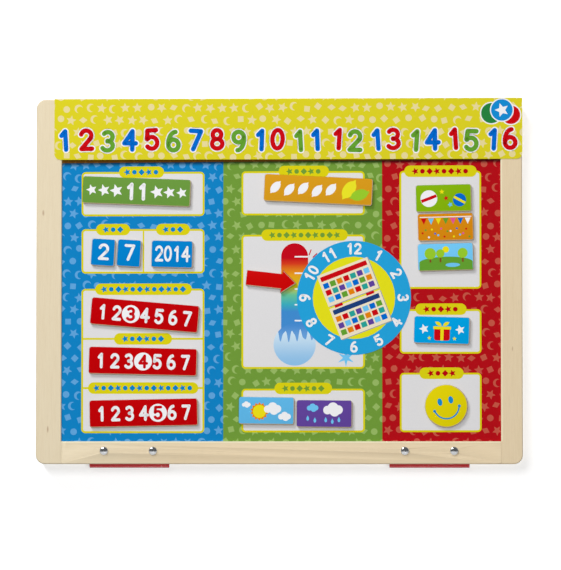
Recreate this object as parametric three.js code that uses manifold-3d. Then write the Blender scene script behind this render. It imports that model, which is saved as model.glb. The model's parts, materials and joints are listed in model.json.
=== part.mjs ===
// A magnetic calendar: two steel-faced boards in wooden frames, folded back to back on two straps.
// Loose magnetic tiles lie on the front board, and the spare tiles are stored on the rear one.
// Millimetres, +Z up, the calendar faces -Y. The origin is midway between the two hanging holes,
// on the rear face of the front board.
import * as THREE from "three";
import { mergeVertices } from "three/addons/utils/BufferGeometryUtils.js";
import Module from "manifold-3d";

const wasm = await Module();
wasm.setup();

// Wooden frame, the same for both boards
const boardWidth = 406;
const boardHeight = 305;
const frameDepth = 11;
const leftStileWidth = 21.3;
const rightStileWidth = 18;
const railHeight = 19;
const cornerRadius = 7.5;
const grooveDepth = 5;
const lipDepth = 1.8;

// Panel held in the frame's groove, from the front: print, steel, backing
const printThickness = 0.25;
const steelThickness = 0.5;
const backingThickness = 3;

// Clearances
const seat = 0.05;
const fit = 0.3;

// Fold between the boards
const boardGap = 3;
const strapWidth = 67;
const strapThickness = 0.9;
const strapDrop = 4.2;
const strapHeight = 17;
const strapInset = 77.5;

// Rivets that hold the straps on the rails
const rivetSpacing = 41;
const rivetHeight = 11;
const rivetHeadDiameter = 7.2;
const rivetHeadHeight = 2;
const rivetShankDiameter = 3.6;
const rivetTailDiameter = 6.4;
const rivetTailThickness = 0.4;

// Holes for a hanging cord, in the front board's top rail
const hangingHoleDiameter = 5;
const hangingHoleSpacing = 94;
const hangingHoleDrop = 9.5;

// Header card over the front board's top rail
const cardWidth = 391.3;
const cardCentre = 7.65;
const cardFaceHeight = 50.6;
const cardFlapHeight = 25;
const cardThickness = 0.5;
const cardCornerRadius = 5;

// Fields of the front print, in three columns below the card. The round sticker bridges the space
// between the second column and the third.
const wideFieldWidth = 102;
const narrowFieldWidth = 67.6;
const bridgedSpace = 29.9;
const monthFieldHeight = 36;
const dateFieldHeight = 36.3;
const daysFieldHeight = 119.5;
const seasonFieldHeight = 35.2;
const temperatureFieldHeight = 110.5;
const weatherFieldHeight = 35.6;
const activitiesFieldHeight = 97.6;
const holidayFieldHeight = 36.7;
const feelingFieldHeight = 48.8;

// How the other spaces share what the fields leave: left to right, then top down in each column
const acrossShares = [17.5, 31.5, 0, 0, 16.2];
const downShares = [
  [11.2, 11.8, 13.5, 7.1],
  [11.2, 17.7, 17.4, 7.8],
  [10.3, 17.7, 16.3, 8],
];

// Round sticker on the print, placed from the middle of the temperature field
const stickerRadius = 47.6;
const stickerThickness = 0.2;
const stickerRight = 42.4;
const stickerUp = 3.55;

// Magnetic tiles: a wooden core on a magnet sheet
const coreThickness = 2.3;
const magnetThickness = 0.7;
const magnetInset = 0.4;
const tileRadius = 2;
const tileHeight = 22.7;
const wideTileWidth = 90.5;
const digitTileWidth = 19.8;
const yearTileWidth = 34.6;
const smallTileWidth = 46.3;
const discDiameter = 35.5;
const arrowLength = 42;
const arrowHeadLength = 12.5;
const arrowHeadHeight = 20;
const arrowShaftHeight = 12.8;

// Tiles stored on the rear board
const storedRows = 10;
const storedDigitRows = 2;
const storedYears = 3;
const storedDiscs = 5;

// Spaces between neighbouring tiles
const digitSpace = 1.9;
const yearSpace = 8.9;
const weatherSpace = 2;
const upperActivitySpace = 1.4;
const lowerActivitySpace = 2.3;

const tensRight = -33.5;
const onesRight = tensRight + digitTileWidth + digitSpace;
const yearRight = onesRight + (digitTileWidth + yearTileWidth) / 2 + yearSpace;
const leftWeatherRight = -30.4;
const rightWeatherRight = leftWeatherRight + smallTileWidth + weatherSpace;
const middleActivityUp = 2;
const upperActivityUp = middleActivityUp + tileHeight + upperActivitySpace;
const lowerActivityUp = middleActivityUp - tileHeight - lowerActivitySpace;

// Where the tiles lie: name, width, field, how far the tile's middle is right of the field's middle
// and above it, and its turn in degrees, clockwise from the front
const tilePlaces = [
  ["month", wideTileWidth, "month", -5.6, 2.4, 2.2],
  ["tens_digit", digitTileWidth, "date", tensRight, -0.75, 3.5],
  ["ones_digit", digitTileWidth, "date", onesRight, -1.45, 3.6],
  ["year", yearTileWidth, "date", yearRight, -2.35, 1.4],
  ["yesterday", wideTileWidth, "days", 1.4, 38.25, 4.9],
  ["today", wideTileWidth, "days", -0.1, -0.35, 1.4],
  ["tomorrow", wideTileWidth, "days", 0.6, -43.35, -1.1],
  ["season", wideTileWidth, "season", 12.9, 3, 2.8],
  ["weather_left", smallTileWidth, "weather", leftWeatherRight, -0.3, 0.8],
  ["weather_right", smallTileWidth, "weather", rightWeatherRight, -2.9, 0.6],
  ["activity_upper", smallTileWidth, "activities", 2.8, upperActivityUp, -1.2],
  ["activity_middle", smallTileWidth, "activities", 4.4, middleActivityUp, -1.3],
  ["activity_lower", smallTileWidth, "activities", 4.4, lowerActivityUp, -1.4],
  ["holiday", smallTileWidth, "holiday", 1.1, 0.65, 1.7],
];
const discPlace = ["feeling", "feeling", 4.6, -3.2, -12];
const arrowPlace = ["temperature_arrow", "temperature", -26.4, 17.95, 6.4];

// Sizes that follow from these
const panelThickness = printThickness + steelThickness + backingThickness + 2 * seat;
const printFace = -frameDepth + lipDepth + seat;
const grooveBack = printFace + panelThickness + seat;
const openingLeft = -boardWidth / 2 + leftStileWidth;
const openingRight = boardWidth / 2 - rightStileWidth;
const openingBottom = railHeight;
const openingTop = boardHeight - railHeight;
const tenonReach = grooveDepth - fit;
const bendRadius = boardGap / 2 - seat;
const bendHeight = strapDrop - bendRadius;
const strapCentre = boardWidth / 2 - strapInset;
const strapMiddleRadius = bendRadius - strapThickness / 2;
const foldDrop = bendHeight + (Math.PI * strapMiddleRadius) / 2;
const holeHeight = boardHeight - hangingHoleDrop;

const material = (color, roughness, metalness = 0) =>
  new THREE.MeshStandardMaterial({ color, roughness, metalness, flatShading: true });
const wood = material(0xe0d3b0, 0.6);
const hardboard = material(0x9a7448, 0.8);
const steel = material(0xb9bcc0, 0.4, 0.9);
const calendarPrint = material(0x2f8fc4, 0.45);
const storagePrint = material(0xdfe3e6, 0.45);
const strapRed = material(0xc30a19, 0.2);
const chrome = material(0xd8dade, 0.15, 1);
const card = material(0xdad219, 0.5);
const stickerBlue = material(0x1ea0dc, 0.4);
const magnetGrey = material(0x3a3634, 0.8);
const tileColours = {
  month: 0x67a23a,
  tens_digit: 0x0087d7,
  ones_digit: 0x0087d7,
  year: 0x0087d7,
  yesterday: 0xc30005,
  today: 0xc30005,
  tomorrow: 0xc30005,
  season: 0xdc9119,
  weather_left: 0x55b4e6,
  weather_right: 0x5f419b,
  activity_upper: 0x7db905,
  activity_middle: 0xe18200,
  activity_lower: 0x73c8f5,
  holiday: 0x00a0e1,
  feeling: 0xe8d70a,
  temperature_arrow: 0xc80505,
};
const storedColours = [0x67a23a, 0x73c8f5];

// A closed geometry as a solid that can be joined and cut
function solid(geometry) {
  const bare = geometry.clone();
  bare.deleteAttribute("normal");
  bare.deleteAttribute("uv");
  const merged = mergeVertices(bare);
  return new wasm.Manifold(
    new wasm.Mesh({
      numProp: 3,
      vertProperties: new Float32Array(merged.attributes.position.array),
      triVerts: new Uint32Array(merged.index.array),
    }),
  );
}

// A solid as a geometry again
function geometryOf(shape) {
  const mesh = shape.getMesh();
  const geometry = new THREE.BufferGeometry();
  geometry.setAttribute("position", new THREE.BufferAttribute(mesh.vertProperties, 3));
  geometry.setIndex(new THREE.BufferAttribute(mesh.triVerts, 1));
  geometry.computeVertexNormals();
  return geometry;
}

function piece(name, geometry, look) {
  const mesh = new THREE.Mesh(geometry, look);
  mesh.name = name;
  return mesh;
}

// A box between two corners
function block(low, high) {
  const size = high.map((value, axis) => value - low[axis]);
  const middle = high.map((value, axis) => (value + low[axis]) / 2);
  return new THREE.BoxGeometry(...size).translate(...middle);
}

// An outline in X and Z, as a plate from one Y to a larger one
function plate(outline, front, back) {
  const options = { depth: back - front, bevelEnabled: false, curveSegments: 1 };
  return new THREE.ExtrudeGeometry(outline, options).rotateX(Math.PI / 2).translate(0, back, 0);
}

// A rectangle whose corners have their own radii, or none, and are rounded in a few steps:
// lower left, lower right, upper right, upper left
function outlineOf(left, right, bottom, top, radii, steps = 3) {
  const corners = [
    [left, bottom, 1, 1],
    [right, bottom, -1, 1],
    [right, top, -1, -1],
    [left, top, 1, -1],
  ];
  const points = corners.flatMap(([x, z, inX, inZ], index) => {
    const radius = radii[index];
    if (!radius) return [new THREE.Vector2(x, z)];
    return Array.from({ length: steps + 1 }, (_, step) => {
      const angle = Math.PI * (1 + index / 2) + (step / steps) * (Math.PI / 2);
      const middle = new THREE.Vector2(x + inX * radius, z + inZ * radius);
      return middle.add(new THREE.Vector2(Math.cos(angle), Math.sin(angle)).multiplyScalar(radius));
    });
  });
  return new THREE.Shape(points);
}

const total = (sizes) => sizes.reduce((sum, size) => sum + size, 0);

// Middles of a run of sizes between two ends. The spaces before, between and after the sizes
// take their shares of what the sizes leave.
function layOut(sizes, shares, low, high) {
  const room = (high - low - total(sizes)) / total(shares);
  return sizes.map((size, index) => {
    const spaces = room * total(shares.slice(0, index + 1));
    return low + spaces + total(sizes.slice(0, index)) + size / 2;
  });
}

const spread = (sizes, low, high) => layOut(sizes, Array(sizes.length + 1).fill(1), low, high);

// Middles of the print's fields, by name
function fieldMiddles() {
  const cardBottom = boardHeight - cardFaceHeight;
  const columns = [
    { month: monthFieldHeight, date: dateFieldHeight, days: daysFieldHeight },
    {
      season: seasonFieldHeight,
      temperature: temperatureFieldHeight,
      weather: weatherFieldHeight,
    },
    { activities: activitiesFieldHeight, holiday: holidayFieldHeight, feeling: feelingFieldHeight },
  ];
  const widths = [wideFieldWidth, wideFieldWidth, bridgedSpace, narrowFieldWidth];
  const [first, second, , third] = layOut(widths, acrossShares, openingLeft, openingRight);
  const across = [first, second, third];
  const fields = columns.flatMap((column, index) => {
    const heights = Object.values(column);
    const down = layOut(heights, downShares[index], 0, cardBottom - openingBottom);
    return Object.keys(column).map((name, row) => [name, [across[index], cardBottom - down[row]]]);
  });
  return Object.fromEntries(fields);
}

// A circle about the origin, as an outline with so many sides
function circleOutline(radius, sides) {
  const points = Array.from({ length: sides }, (_, side) => {
    const angle = (side / sides) * 2 * Math.PI;
    return new THREE.Vector2(radius * Math.cos(angle), radius * Math.sin(angle));
  });
  return new THREE.Shape(points);
}

// A round bar along Y
function bar(diameter, x, front, back, z) {
  const sides = 16;
  const cylinder = new THREE.CylinderGeometry(diameter / 2, diameter / 2, back - front, sides);
  return cylinder.translate(x, (front + back) / 2, z);
}

const rivetPlaces = [-1, 1].flatMap((side) =>
  [-1, 1].map((end) => side * strapCentre + (end * rivetSpacing) / 2),
);
const hangingPlaces = [-hangingHoleSpacing / 2, hangingHoleSpacing / 2];

// A stile: full height, rounded at its two outer corners, grooved along its inner edge
function stile(side) {
  const outer = (side * boardWidth) / 2;
  const inner = side < 0 ? openingLeft : openingRight;
  const left = Math.min(outer, inner);
  const right = Math.max(outer, inner);
  const rounded = [-side, side, side, -side].map((out) => (out > 0 ? cornerRadius : 0));
  const body = solid(plate(outlineOf(left, right, 0, boardHeight, rounded, 6), -frameDepth, 0));
  const reach = [inner - grooveDepth, inner + grooveDepth];
  const groove = block(
    [reach[0], printFace - seat, -fit],
    [reach[1], grooveBack, boardHeight + fit],
  );
  return body.subtract(solid(groove));
}

// A rail between the stiles: grooved along its inner edge, with a stub tenon at each end,
// and drilled where the list of holes says
function rail(upper, holes) {
  const bottom = upper ? openingTop : 0;
  const left = openingLeft + seat;
  const right = openingRight - seat;
  const body = block([left, -frameDepth, bottom], [right, 0, bottom + railHeight]);
  const grooveBottom = upper ? bottom - fit : bottom + railHeight - grooveDepth;
  const groove = block(
    [left - fit, printFace - seat, grooveBottom],
    [right + fit, grooveBack, grooveBottom + grooveDepth + fit],
  );
  const tenonBottom = upper ? bottom + grooveDepth : bottom;
  const tenon = block(
    [openingLeft - tenonReach, printFace, tenonBottom],
    [openingRight + tenonReach, grooveBack - seat, tenonBottom + railHeight - grooveDepth],
  );
  const blank = solid(body).subtract(solid(groove)).add(solid(tenon));
  return holes.reduce(
    (cut, { x, z, diameter }) =>
      cut.subtract(solid(bar(diameter, x, -frameDepth - fit, fit, z))),
    blank,
  );
}

// A sheet of the panel, held in the groove on all four sides
function panelSheet(front, thickness) {
  return block(
    [openingLeft - tenonReach, front, openingBottom - tenonReach],
    [openingRight + tenonReach, front + thickness, openingTop + tenonReach],
  );
}

// The frame and panel of one board, standing on its lower edge with its rear face at Y 0
function board(prefix, print, upperHoles, lowerHoles) {
  const group = new THREE.Group();
  const steelFront = printFace + printThickness + seat;
  const backingFront = steelFront + steelThickness + seat;
  group.add(
    piece(`${prefix}_left_stile`, geometryOf(stile(-1)), wood),
    piece(`${prefix}_right_stile`, geometryOf(stile(1)), wood),
    piece(`${prefix}_top_rail`, geometryOf(rail(true, upperHoles)), wood),
    piece(`${prefix}_bottom_rail`, geometryOf(rail(false, lowerHoles)), wood),
    piece(`${prefix}_printed_face`, panelSheet(printFace, printThickness), print),
    piece(`${prefix}_steel_sheet`, panelSheet(steelFront, steelThickness), steel),
    piece(`${prefix}_backing_panel`, panelSheet(backingFront, backingThickness), hardboard),
  );
  return group;
}

// A rivet along Y at a place on a rail: domed head in front, flat tail behind the strap
function rivet(name, x, z) {
  const head = rivetHeadDiameter / 2;
  const shank = rivetShankDiameter / 2;
  const tail = rivetTailDiameter / 2;
  const underHead = -frameDepth - seat;
  const overStrap = seat + strapThickness + seat;
  const tailEnd = overStrap + rivetTailThickness;
  const steps = 5;
  const dome = Array.from({ length: steps }, (_, step) => {
    const angle = (step / steps) * (Math.PI / 2);
    return [head * Math.sin(angle), underHead - rivetHeadHeight * Math.cos(angle)];
  });
  const profile = [
    ...dome,
    [head, underHead],
    [shank, underHead],
    [shank, overStrap],
    [tail, overStrap],
    [tail, tailEnd],
    [0, tailEnd],
  ].map(([radius, along]) => new THREE.Vector2(radius, along));
  const sides = 16;
  return piece(name, new THREE.LatheGeometry(profile, sides).translate(x, 0, z), chrome);
}

// A strap: one leg on each board's rear face, joined by a bend below their edges
function strap(name, x) {
  const shape = new THREE.Shape();
  const innerRadius = bendRadius - strapThickness;
  const middle = boardGap / 2;
  shape.moveTo(middle - bendRadius, strapHeight);
  shape.lineTo(middle - bendRadius, -bendHeight);
  shape.absarc(middle, -bendHeight, bendRadius, Math.PI, 2 * Math.PI);
  shape.lineTo(middle + bendRadius, strapHeight);
  shape.lineTo(middle + innerRadius, strapHeight);
  shape.lineTo(middle + innerRadius, -bendHeight);
  shape.absarc(middle, -bendHeight, innerRadius, 2 * Math.PI, Math.PI, true);
  shape.lineTo(middle - innerRadius, strapHeight);
  const options = { depth: strapWidth, bevelEnabled: false, curveSegments: 5 };
  const along = new THREE.Matrix4().makeBasis(
    new THREE.Vector3(0, 1, 0),
    new THREE.Vector3(0, 0, 1),
    new THREE.Vector3(1, 0, 0),
  );
  const band = new THREE.ExtrudeGeometry(shape, options)
    .applyMatrix4(along)
    .translate(x - strapWidth / 2, 0, 0);
  const holeDiameter = rivetShankDiameter + 2 * fit;
  const drilled = rivetPlaces
    .filter((place) => Math.abs(place - x) < strapWidth / 2)
    .reduce(
      (cut, place) =>
        cut.subtract(solid(bar(holeDiameter, place, -fit, boardGap + fit, rivetHeight))),
      solid(band),
    );
  return piece(name, geometryOf(drilled), strapRed);
}

// The header card: a face with two rounded lower corners, folded over the rail to a short flap
function headerCard() {
  const left = cardCentre - cardWidth / 2;
  const right = cardCentre + cardWidth / 2;
  const back = -frameDepth - seat;
  const under = boardHeight + seat;
  const top = under + cardThickness;
  const bottom = boardHeight - cardFaceHeight;
  const radii = [cardCornerRadius, cardCornerRadius, 0, 0];
  const face = plate(outlineOf(left, right, bottom, top, radii), back - cardThickness, back);
  const fold = block([left, back - cardThickness, under], [right, seat + cardThickness, top]);
  const flap = block(
    [left, seat, boardHeight - cardFlapHeight],
    [right, seat + cardThickness, top],
  );
  return piece("header_card", geometryOf(solid(face).add(solid(fold)).add(solid(flap))), card);
}

const fields = fieldMiddles();

function roundSticker() {
  const sides = 48;
  const disc = new THREE.CylinderGeometry(stickerRadius, stickerRadius, stickerThickness, sides);
  const front = printFace - seat - stickerThickness / 2;
  const [x, z] = fields.temperature;
  const place = [x + stickerRight, front, z + stickerUp];
  return piece("round_sticker", disc.translate(...place), stickerBlue);
}

// Outlines of the tiles, about their own middles, drawn in by an inset
function tileOutline(width, inset, steps = 3) {
  const x = width / 2 - inset;
  const z = tileHeight / 2 - inset;
  return outlineOf(-x, x, -z, z, Array(4).fill(tileRadius - inset), steps);
}

const discOutline = (inset, sides = 32) => circleOutline(discDiameter / 2 - inset, sides);

function arrowOutline(inset) {
  const tip = arrowLength / 2 - inset;
  const neck = arrowLength / 2 - arrowHeadLength;
  const tail = -arrowLength / 2 + inset;
  const shaft = arrowShaftHeight / 2 - inset;
  const head = arrowHeadHeight / 2 - inset;
  const shape = new THREE.Shape();
  shape.moveTo(tip, 0);
  shape.lineTo(neck + inset, head);
  shape.lineTo(neck + inset, shaft);
  shape.lineTo(tail, shaft);
  shape.lineTo(tail, -shaft);
  shape.lineTo(neck + inset, -shaft);
  shape.lineTo(neck + inset, -head);
  return shape;
}

// A tile on the print: its magnet sheet against the print and its core in front
function tile(name, outline, [field, right, up, turn]) {
  const group = new THREE.Group();
  const [x, z] = fields[field];
  const magnetBack = printFace - seat;
  const coreBack = magnetBack - magnetThickness - seat;
  const magnet = plate(outline(magnetInset), magnetBack - magnetThickness, magnetBack);
  const core = plate(outline(0), coreBack - coreThickness, coreBack);
  group.add(
    piece(`${name}_tile`, core, material(tileColours[name], 0.45)),
    piece(`${name}_magnet`, magnet, magnetGrey),
  );
  group.position.set(x + right, 0, z + up);
  group.rotation.y = THREE.MathUtils.degToRad(turn);
  return group;
}

// Spare tiles as laid out on the rear board, column by column and top down, in as many columns
// as its width takes. A row of a column holds one tile, or several side by side.
function storedColumns() {
  const repeat = (row, count) => Array.from({ length: count }, () => row);
  const wideRows = repeat([wideTileWidth], storedRows);
  const smallRows = repeat([smallTileWidth], storedRows);
  const fourDigits = repeat(repeat(digitTileWidth, 4), storedDigitRows);
  const digitPairs = repeat(repeat(digitTileWidth, 2), storedDigitRows);
  const columns = [
    [wideTileWidth, wideRows],
    [wideTileWidth, [...fourDigits, ...wideRows.slice(storedDigitRows)]],
    [discDiameter, [...repeat([yearTileWidth], storedYears), ...repeat([discDiameter], storedDiscs)]],
    [smallTileWidth, smallRows],
    [smallTileWidth, smallRows],
    [smallTileWidth, [...smallRows.slice(storedDigitRows + 1), [yearTileWidth], ...digitPairs]],
  ];
  const allWidths = columns.map(([width]) => width);
  const widths = allWidths.filter(
    (_, index) => total(allWidths.slice(0, index + 1)) < openingRight - openingLeft,
  );
  const middles = spread(widths, openingLeft, openingRight);
  return widths.map((width, column) => {
    const rows = columns[column][1];
    const heights = rows.map(([size]) => (size === discDiameter ? discDiameter : tileHeight));
    const levels = spread(heights, 0, openingTop - openingBottom);
    return rows.flatMap((row, index) => {
      const left = middles[column] - width / 2;
      const across = spread(row, left, left + width);
      const [height, z] = [heights[index], openingTop - levels[index]];
      return row.map((size, place) => ({ size: [size, height], x: across[place], z }));
    });
  });
}

// Several columns of stored tiles on the one magnet sheet that they were cut from
function storedTiles(name, columns, color) {
  const sheetBack = printFace - seat;
  const sheetFront = sheetBack - magnetThickness;
  const coreFront = sheetFront - coreThickness;
  const tiles = columns.flat();
  const left = Math.min(...tiles.map(({ size, x }) => x - size[0] / 2));
  const right = Math.max(...tiles.map(({ size, x }) => x + size[0] / 2));
  const bottom = Math.min(...tiles.map(({ size, z }) => z - size[1] / 2));
  const top = Math.max(...tiles.map(({ size, z }) => z + size[1] / 2));
  const sheet = solid(block([left, sheetFront, bottom], [right, sheetBack, top]));
  const joined = tiles.reduce((sum, { size, x, z }) => {
    const outline = size[0] === discDiameter ? discOutline(0, 16) : tileOutline(size[0], 0, 1);
    return sum.add(solid(plate(outline, coreFront, sheetFront).translate(x, 0, z)));
  }, sheet);
  return piece(name, geometryOf(joined), material(color, 0.5));
}

function frontBoard() {
  const group = new THREE.Group();
  const cordHoles = hangingPlaces.map((x) => ({ x, z: holeHeight, diameter: hangingHoleDiameter }));
  const rivetHoles = rivetPlaces.map((x) => ({
    x,
    z: rivetHeight,
    diameter: rivetShankDiameter + 2 * fit,
  }));
  group.add(board("front", calendarPrint, cordHoles, rivetHoles));
  rivetPlaces.forEach((x, index) => group.add(rivet(`front_rivet_${index + 1}`, x, rivetHeight)));
  group.add(strap("left_strap", -strapCentre), strap("right_strap", strapCentre));
  group.add(headerCard(), roundSticker());
  for (const [name, width, ...place] of tilePlaces)
    group.add(tile(name, (inset) => tileOutline(width, inset), place));
  const [discName, ...discSpot] = discPlace;
  group.add(tile(discName, (inset) => discOutline(inset), discSpot));
  const [arrowName, ...arrowSpot] = arrowPlace;
  group.add(tile(arrowName, arrowOutline, arrowSpot));
  return group;
}

// The rear board is built as it hangs when unfolded, below the fold, and turned half round
// the fold axis to lie behind the front board
function rearBoard() {
  const group = new THREE.Group();
  const hung = new THREE.Group();
  const strapZ = boardHeight - rivetHeight;
  const rivetHoles = rivetPlaces.map((x) => ({
    x,
    z: strapZ,
    diameter: rivetShankDiameter + 2 * fit,
  }));
  hung.add(board("rear", storagePrint, rivetHoles, []));
  rivetPlaces.forEach((x, index) => hung.add(rivet(`rear_rivet_${index + 1}`, x, strapZ)));
  const columns = storedColumns();
  hung.add(
    storedTiles("stored_wide_tiles", columns.slice(0, 2), storedColours[0]),
    storedTiles("stored_small_tiles", columns.slice(2), storedColours[1]),
  );
  hung.position.set(0, -boardGap / 2, -foldDrop - boardHeight);
  group.add(hung);
  group.position.set(0, boardGap / 2, -foldDrop);
  group.rotation.x = Math.PI;
  return group;
}

const calendar = new THREE.Group();
calendar.name = "magnetic_calendar_board";
calendar.add(frontBoard(), rearBoard());
calendar.position.z = -holeHeight;

export default new THREE.Group().add(calendar);
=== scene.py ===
"""Models and finishes a magnetic calendar: two wooden boards folded back to back on red straps.

Each piece is modelled lying flat, with X to the right, Y up the board and Z towards the viewer,
and is then stood up at its place on the front or the rear board. The frame gives the places and
sizes of the pieces that it holds. Lengths are metres, and MM turns millimetres into them.
"""
import contextlib
import functools
import json
import math

import bmesh
import bpy
from mathutils import Matrix, Vector


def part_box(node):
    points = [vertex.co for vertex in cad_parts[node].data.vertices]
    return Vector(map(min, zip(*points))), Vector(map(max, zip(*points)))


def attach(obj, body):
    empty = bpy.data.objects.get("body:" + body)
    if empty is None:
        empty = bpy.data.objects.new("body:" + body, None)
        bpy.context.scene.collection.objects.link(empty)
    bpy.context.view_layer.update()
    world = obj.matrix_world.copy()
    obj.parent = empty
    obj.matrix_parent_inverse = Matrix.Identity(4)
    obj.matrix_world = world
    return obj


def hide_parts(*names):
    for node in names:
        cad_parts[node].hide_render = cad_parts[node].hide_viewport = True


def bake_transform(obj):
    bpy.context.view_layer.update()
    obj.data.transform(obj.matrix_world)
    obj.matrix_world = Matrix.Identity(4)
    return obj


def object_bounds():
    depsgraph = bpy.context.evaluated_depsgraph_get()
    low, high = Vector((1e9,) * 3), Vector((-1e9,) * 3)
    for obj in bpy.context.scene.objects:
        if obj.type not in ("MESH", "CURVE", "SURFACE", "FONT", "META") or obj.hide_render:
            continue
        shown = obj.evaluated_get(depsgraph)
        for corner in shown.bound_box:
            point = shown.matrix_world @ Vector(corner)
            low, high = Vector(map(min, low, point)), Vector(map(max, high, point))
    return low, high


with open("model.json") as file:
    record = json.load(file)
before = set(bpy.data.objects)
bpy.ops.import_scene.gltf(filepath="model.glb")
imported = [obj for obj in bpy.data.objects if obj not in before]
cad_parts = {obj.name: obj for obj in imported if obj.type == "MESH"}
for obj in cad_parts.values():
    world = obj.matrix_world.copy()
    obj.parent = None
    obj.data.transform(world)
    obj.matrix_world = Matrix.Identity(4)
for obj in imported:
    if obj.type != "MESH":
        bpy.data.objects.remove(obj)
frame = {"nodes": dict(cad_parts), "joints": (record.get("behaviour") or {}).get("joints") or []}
CAD_BOX = [list(corner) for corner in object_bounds()]

bl_info = {
    "name": "Magnetic Calendar",
    "version": (1, 0, 0),
    "blender": (4, 5, 0),
    "location": "3D View > Sidebar > Calendar",
    "description": "Models a folding magnetic calendar and sets its stage",
    "category": "Add Mesh",
}

MM = 0.001
RIGHT_ANGLE = math.pi / 2
SHARP = math.radians(35)

# The printed layers on a face are thinner than the gap under the magnets
LAYER = 0.004 * MM
INK = 0.003 * MM

# Play between fitted pieces, and how near counts as the same place
SEAT = 0.05 * MM
NEAR = 0.01 * MM

STRAP_THICKNESS = 0.9 * MM
STRAP_ROUND = 0.22 * MM
# How far the straps' bends are tucked up towards the boards, as the photo shows them
STRAP_TUCK = 1.0 * MM
CARD_THICKNESS = 0.5 * MM
CARD_FLAP = 25 * MM

# Strength of the gloss on printed paper and on bare wood, where plain plastic has 0.5
PRINT_GLOSS = 0.06
WOOD_GLOSS = 0.25
# Width of a painted highlight: a paler band on the wood along the lower and right edges of the
# print, where the rounded edges face the light
PAINTED_HIGHLIGHT_WIDTH = 1.3 * MM
# Warmer tone of the wood away from the board's left edge
WARM = (1.0, 0.95, 0.895)

OPENING_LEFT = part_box("front_left_stile")[1].x
OPENING_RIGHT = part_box("front_right_stile")[0].x
BOARD_LOW, BOARD_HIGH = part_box("front_left_stile")
BOARD_BOTTOM = BOARD_LOW.z
BOARD_HEIGHT = BOARD_HIGH.z - BOARD_LOW.z
FRAME_DEPTH = BOARD_HIGH.y - BOARD_LOW.y
RAIL_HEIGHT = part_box("rear_top_rail")[1].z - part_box("rear_top_rail")[0].z
PRINT_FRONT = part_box("front_printed_face")[0].y
GROOVE_BACK = -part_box("front_backing_panel")[1].y - SEAT
GROOVE_FRONT = SEAT - PRINT_FRONT
FOLD = Vector(next(joint for joint in frame["joints"] if joint["name"] == "fold")["pos_m"])

# Levels on the front print, in millimetres above the board's lower edge, and the left ends of
# its bands, from the board's middle. The heading's lower edge rises a little to the right. Its
# lowest strip is brown as painted shade of the header card on the yellow, and the bands below
# get a painted shadow of the card.
HEADING_BOTTOM = 252.9
HEADING_SLOPE = 0.0062
# Height of the heading's brown strip of painted shade, and depth of the painted shadow below it
PAINTED_SHADE_STRIP = 3
PAINTED_SHADOW_DEPTH = 4.2
FIGURES_LEVEL = 268
CARD_FIGURES_LEVEL = 270.6
TUBE_BOTTOM = 106
TUBE_TOP = 184.3
TICKS = (173, 159.2, 146, 132.9, 119.6)
GREEN_LEFT = -46.5
RED_LEFT = 86.2

CREAM = (0.787, 0.680, 0.330)

# From flat work on a board, measured from the middle of its lower edge, to that board at rest
STAND = Matrix.Rotation(RIGHT_ANGLE, 4, "X")
FRONT = Matrix.Translation((0, 0, BOARD_BOTTOM)) @ STAND
TURN_BACK = (
    Matrix.Translation(FOLD) @ Matrix.Rotation(math.pi, 4, "X") @ Matrix.Translation(-FOLD)
)
HUNG_BOTTOM = 2 * FOLD.z - BOARD_BOTTOM - BOARD_HEIGHT
HUNG = Matrix.Translation((0, 0, HUNG_BOTTOM)) @ STAND
REAR = TURN_BACK @ HUNG


def colour(red, green, blue):
    """A colour as seen on a screen, 0 to 255, as the linear one that shaders take."""
    shares = (part / 255 for part in (red, green, blue))
    return tuple(
        share / 12.92 if share <= 0.04045 else ((share + 0.055) / 1.055) ** 2.4
        for share in shares
    )


def length(name, description, millimetres):
    return bpy.props.FloatProperty(
        name=name,
        description=description,
        default=millimetres * MM,
        min=0,
        unit="LENGTH",
        subtype="DISTANCE",
    )


def tint(name, description, *screen):
    return bpy.props.FloatVectorProperty(
        name=name,
        description=description,
        default=colour(*screen),
        min=0,
        max=1,
        size=3,
        subtype="COLOR",
    )


class CalendarSizes(bpy.types.PropertyGroup):
    """Sizes that the frame doesn't give."""

    outer_round: length("Outer edges", "Rounding of the frame's outer edges", 1.1)
    inner_round: length("Inner edges", "Rounding of the frame's other edges", 0.35)
    sight_round: length("Sight edges", "Rounding of the front edges at the print", 1.1)
    corner: length("Corner", "Radius of the frame's corners", 7.5)
    groove: length("Groove", "Depth of the groove that holds the panel", 5)
    tile_round: length("Tile edge", "Rounding of the tiles' edges", 0.7)
    tile_corner: length("Tile corner", "Radius of the tiles' corners", 2)
    field_corner: length("Field corner", "Radius of the white fields' corners", 3.4)
    field_line: length("Field line", "Width of the yellow line round a field", 1.6)
    motif_pitch: length("Motif pitch", "Distance from one small printed motif to the next", 10.1)
    card_fold: length("Card fold", "Outer radius of the header card's folds", 0.9)
    card_corner: length("Card corner", "Radius of the header card's lower corners", 5)
    sticker_middle: length("Sticker middle", "Radius of the sticker's yellow middle", 34.4)


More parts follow.
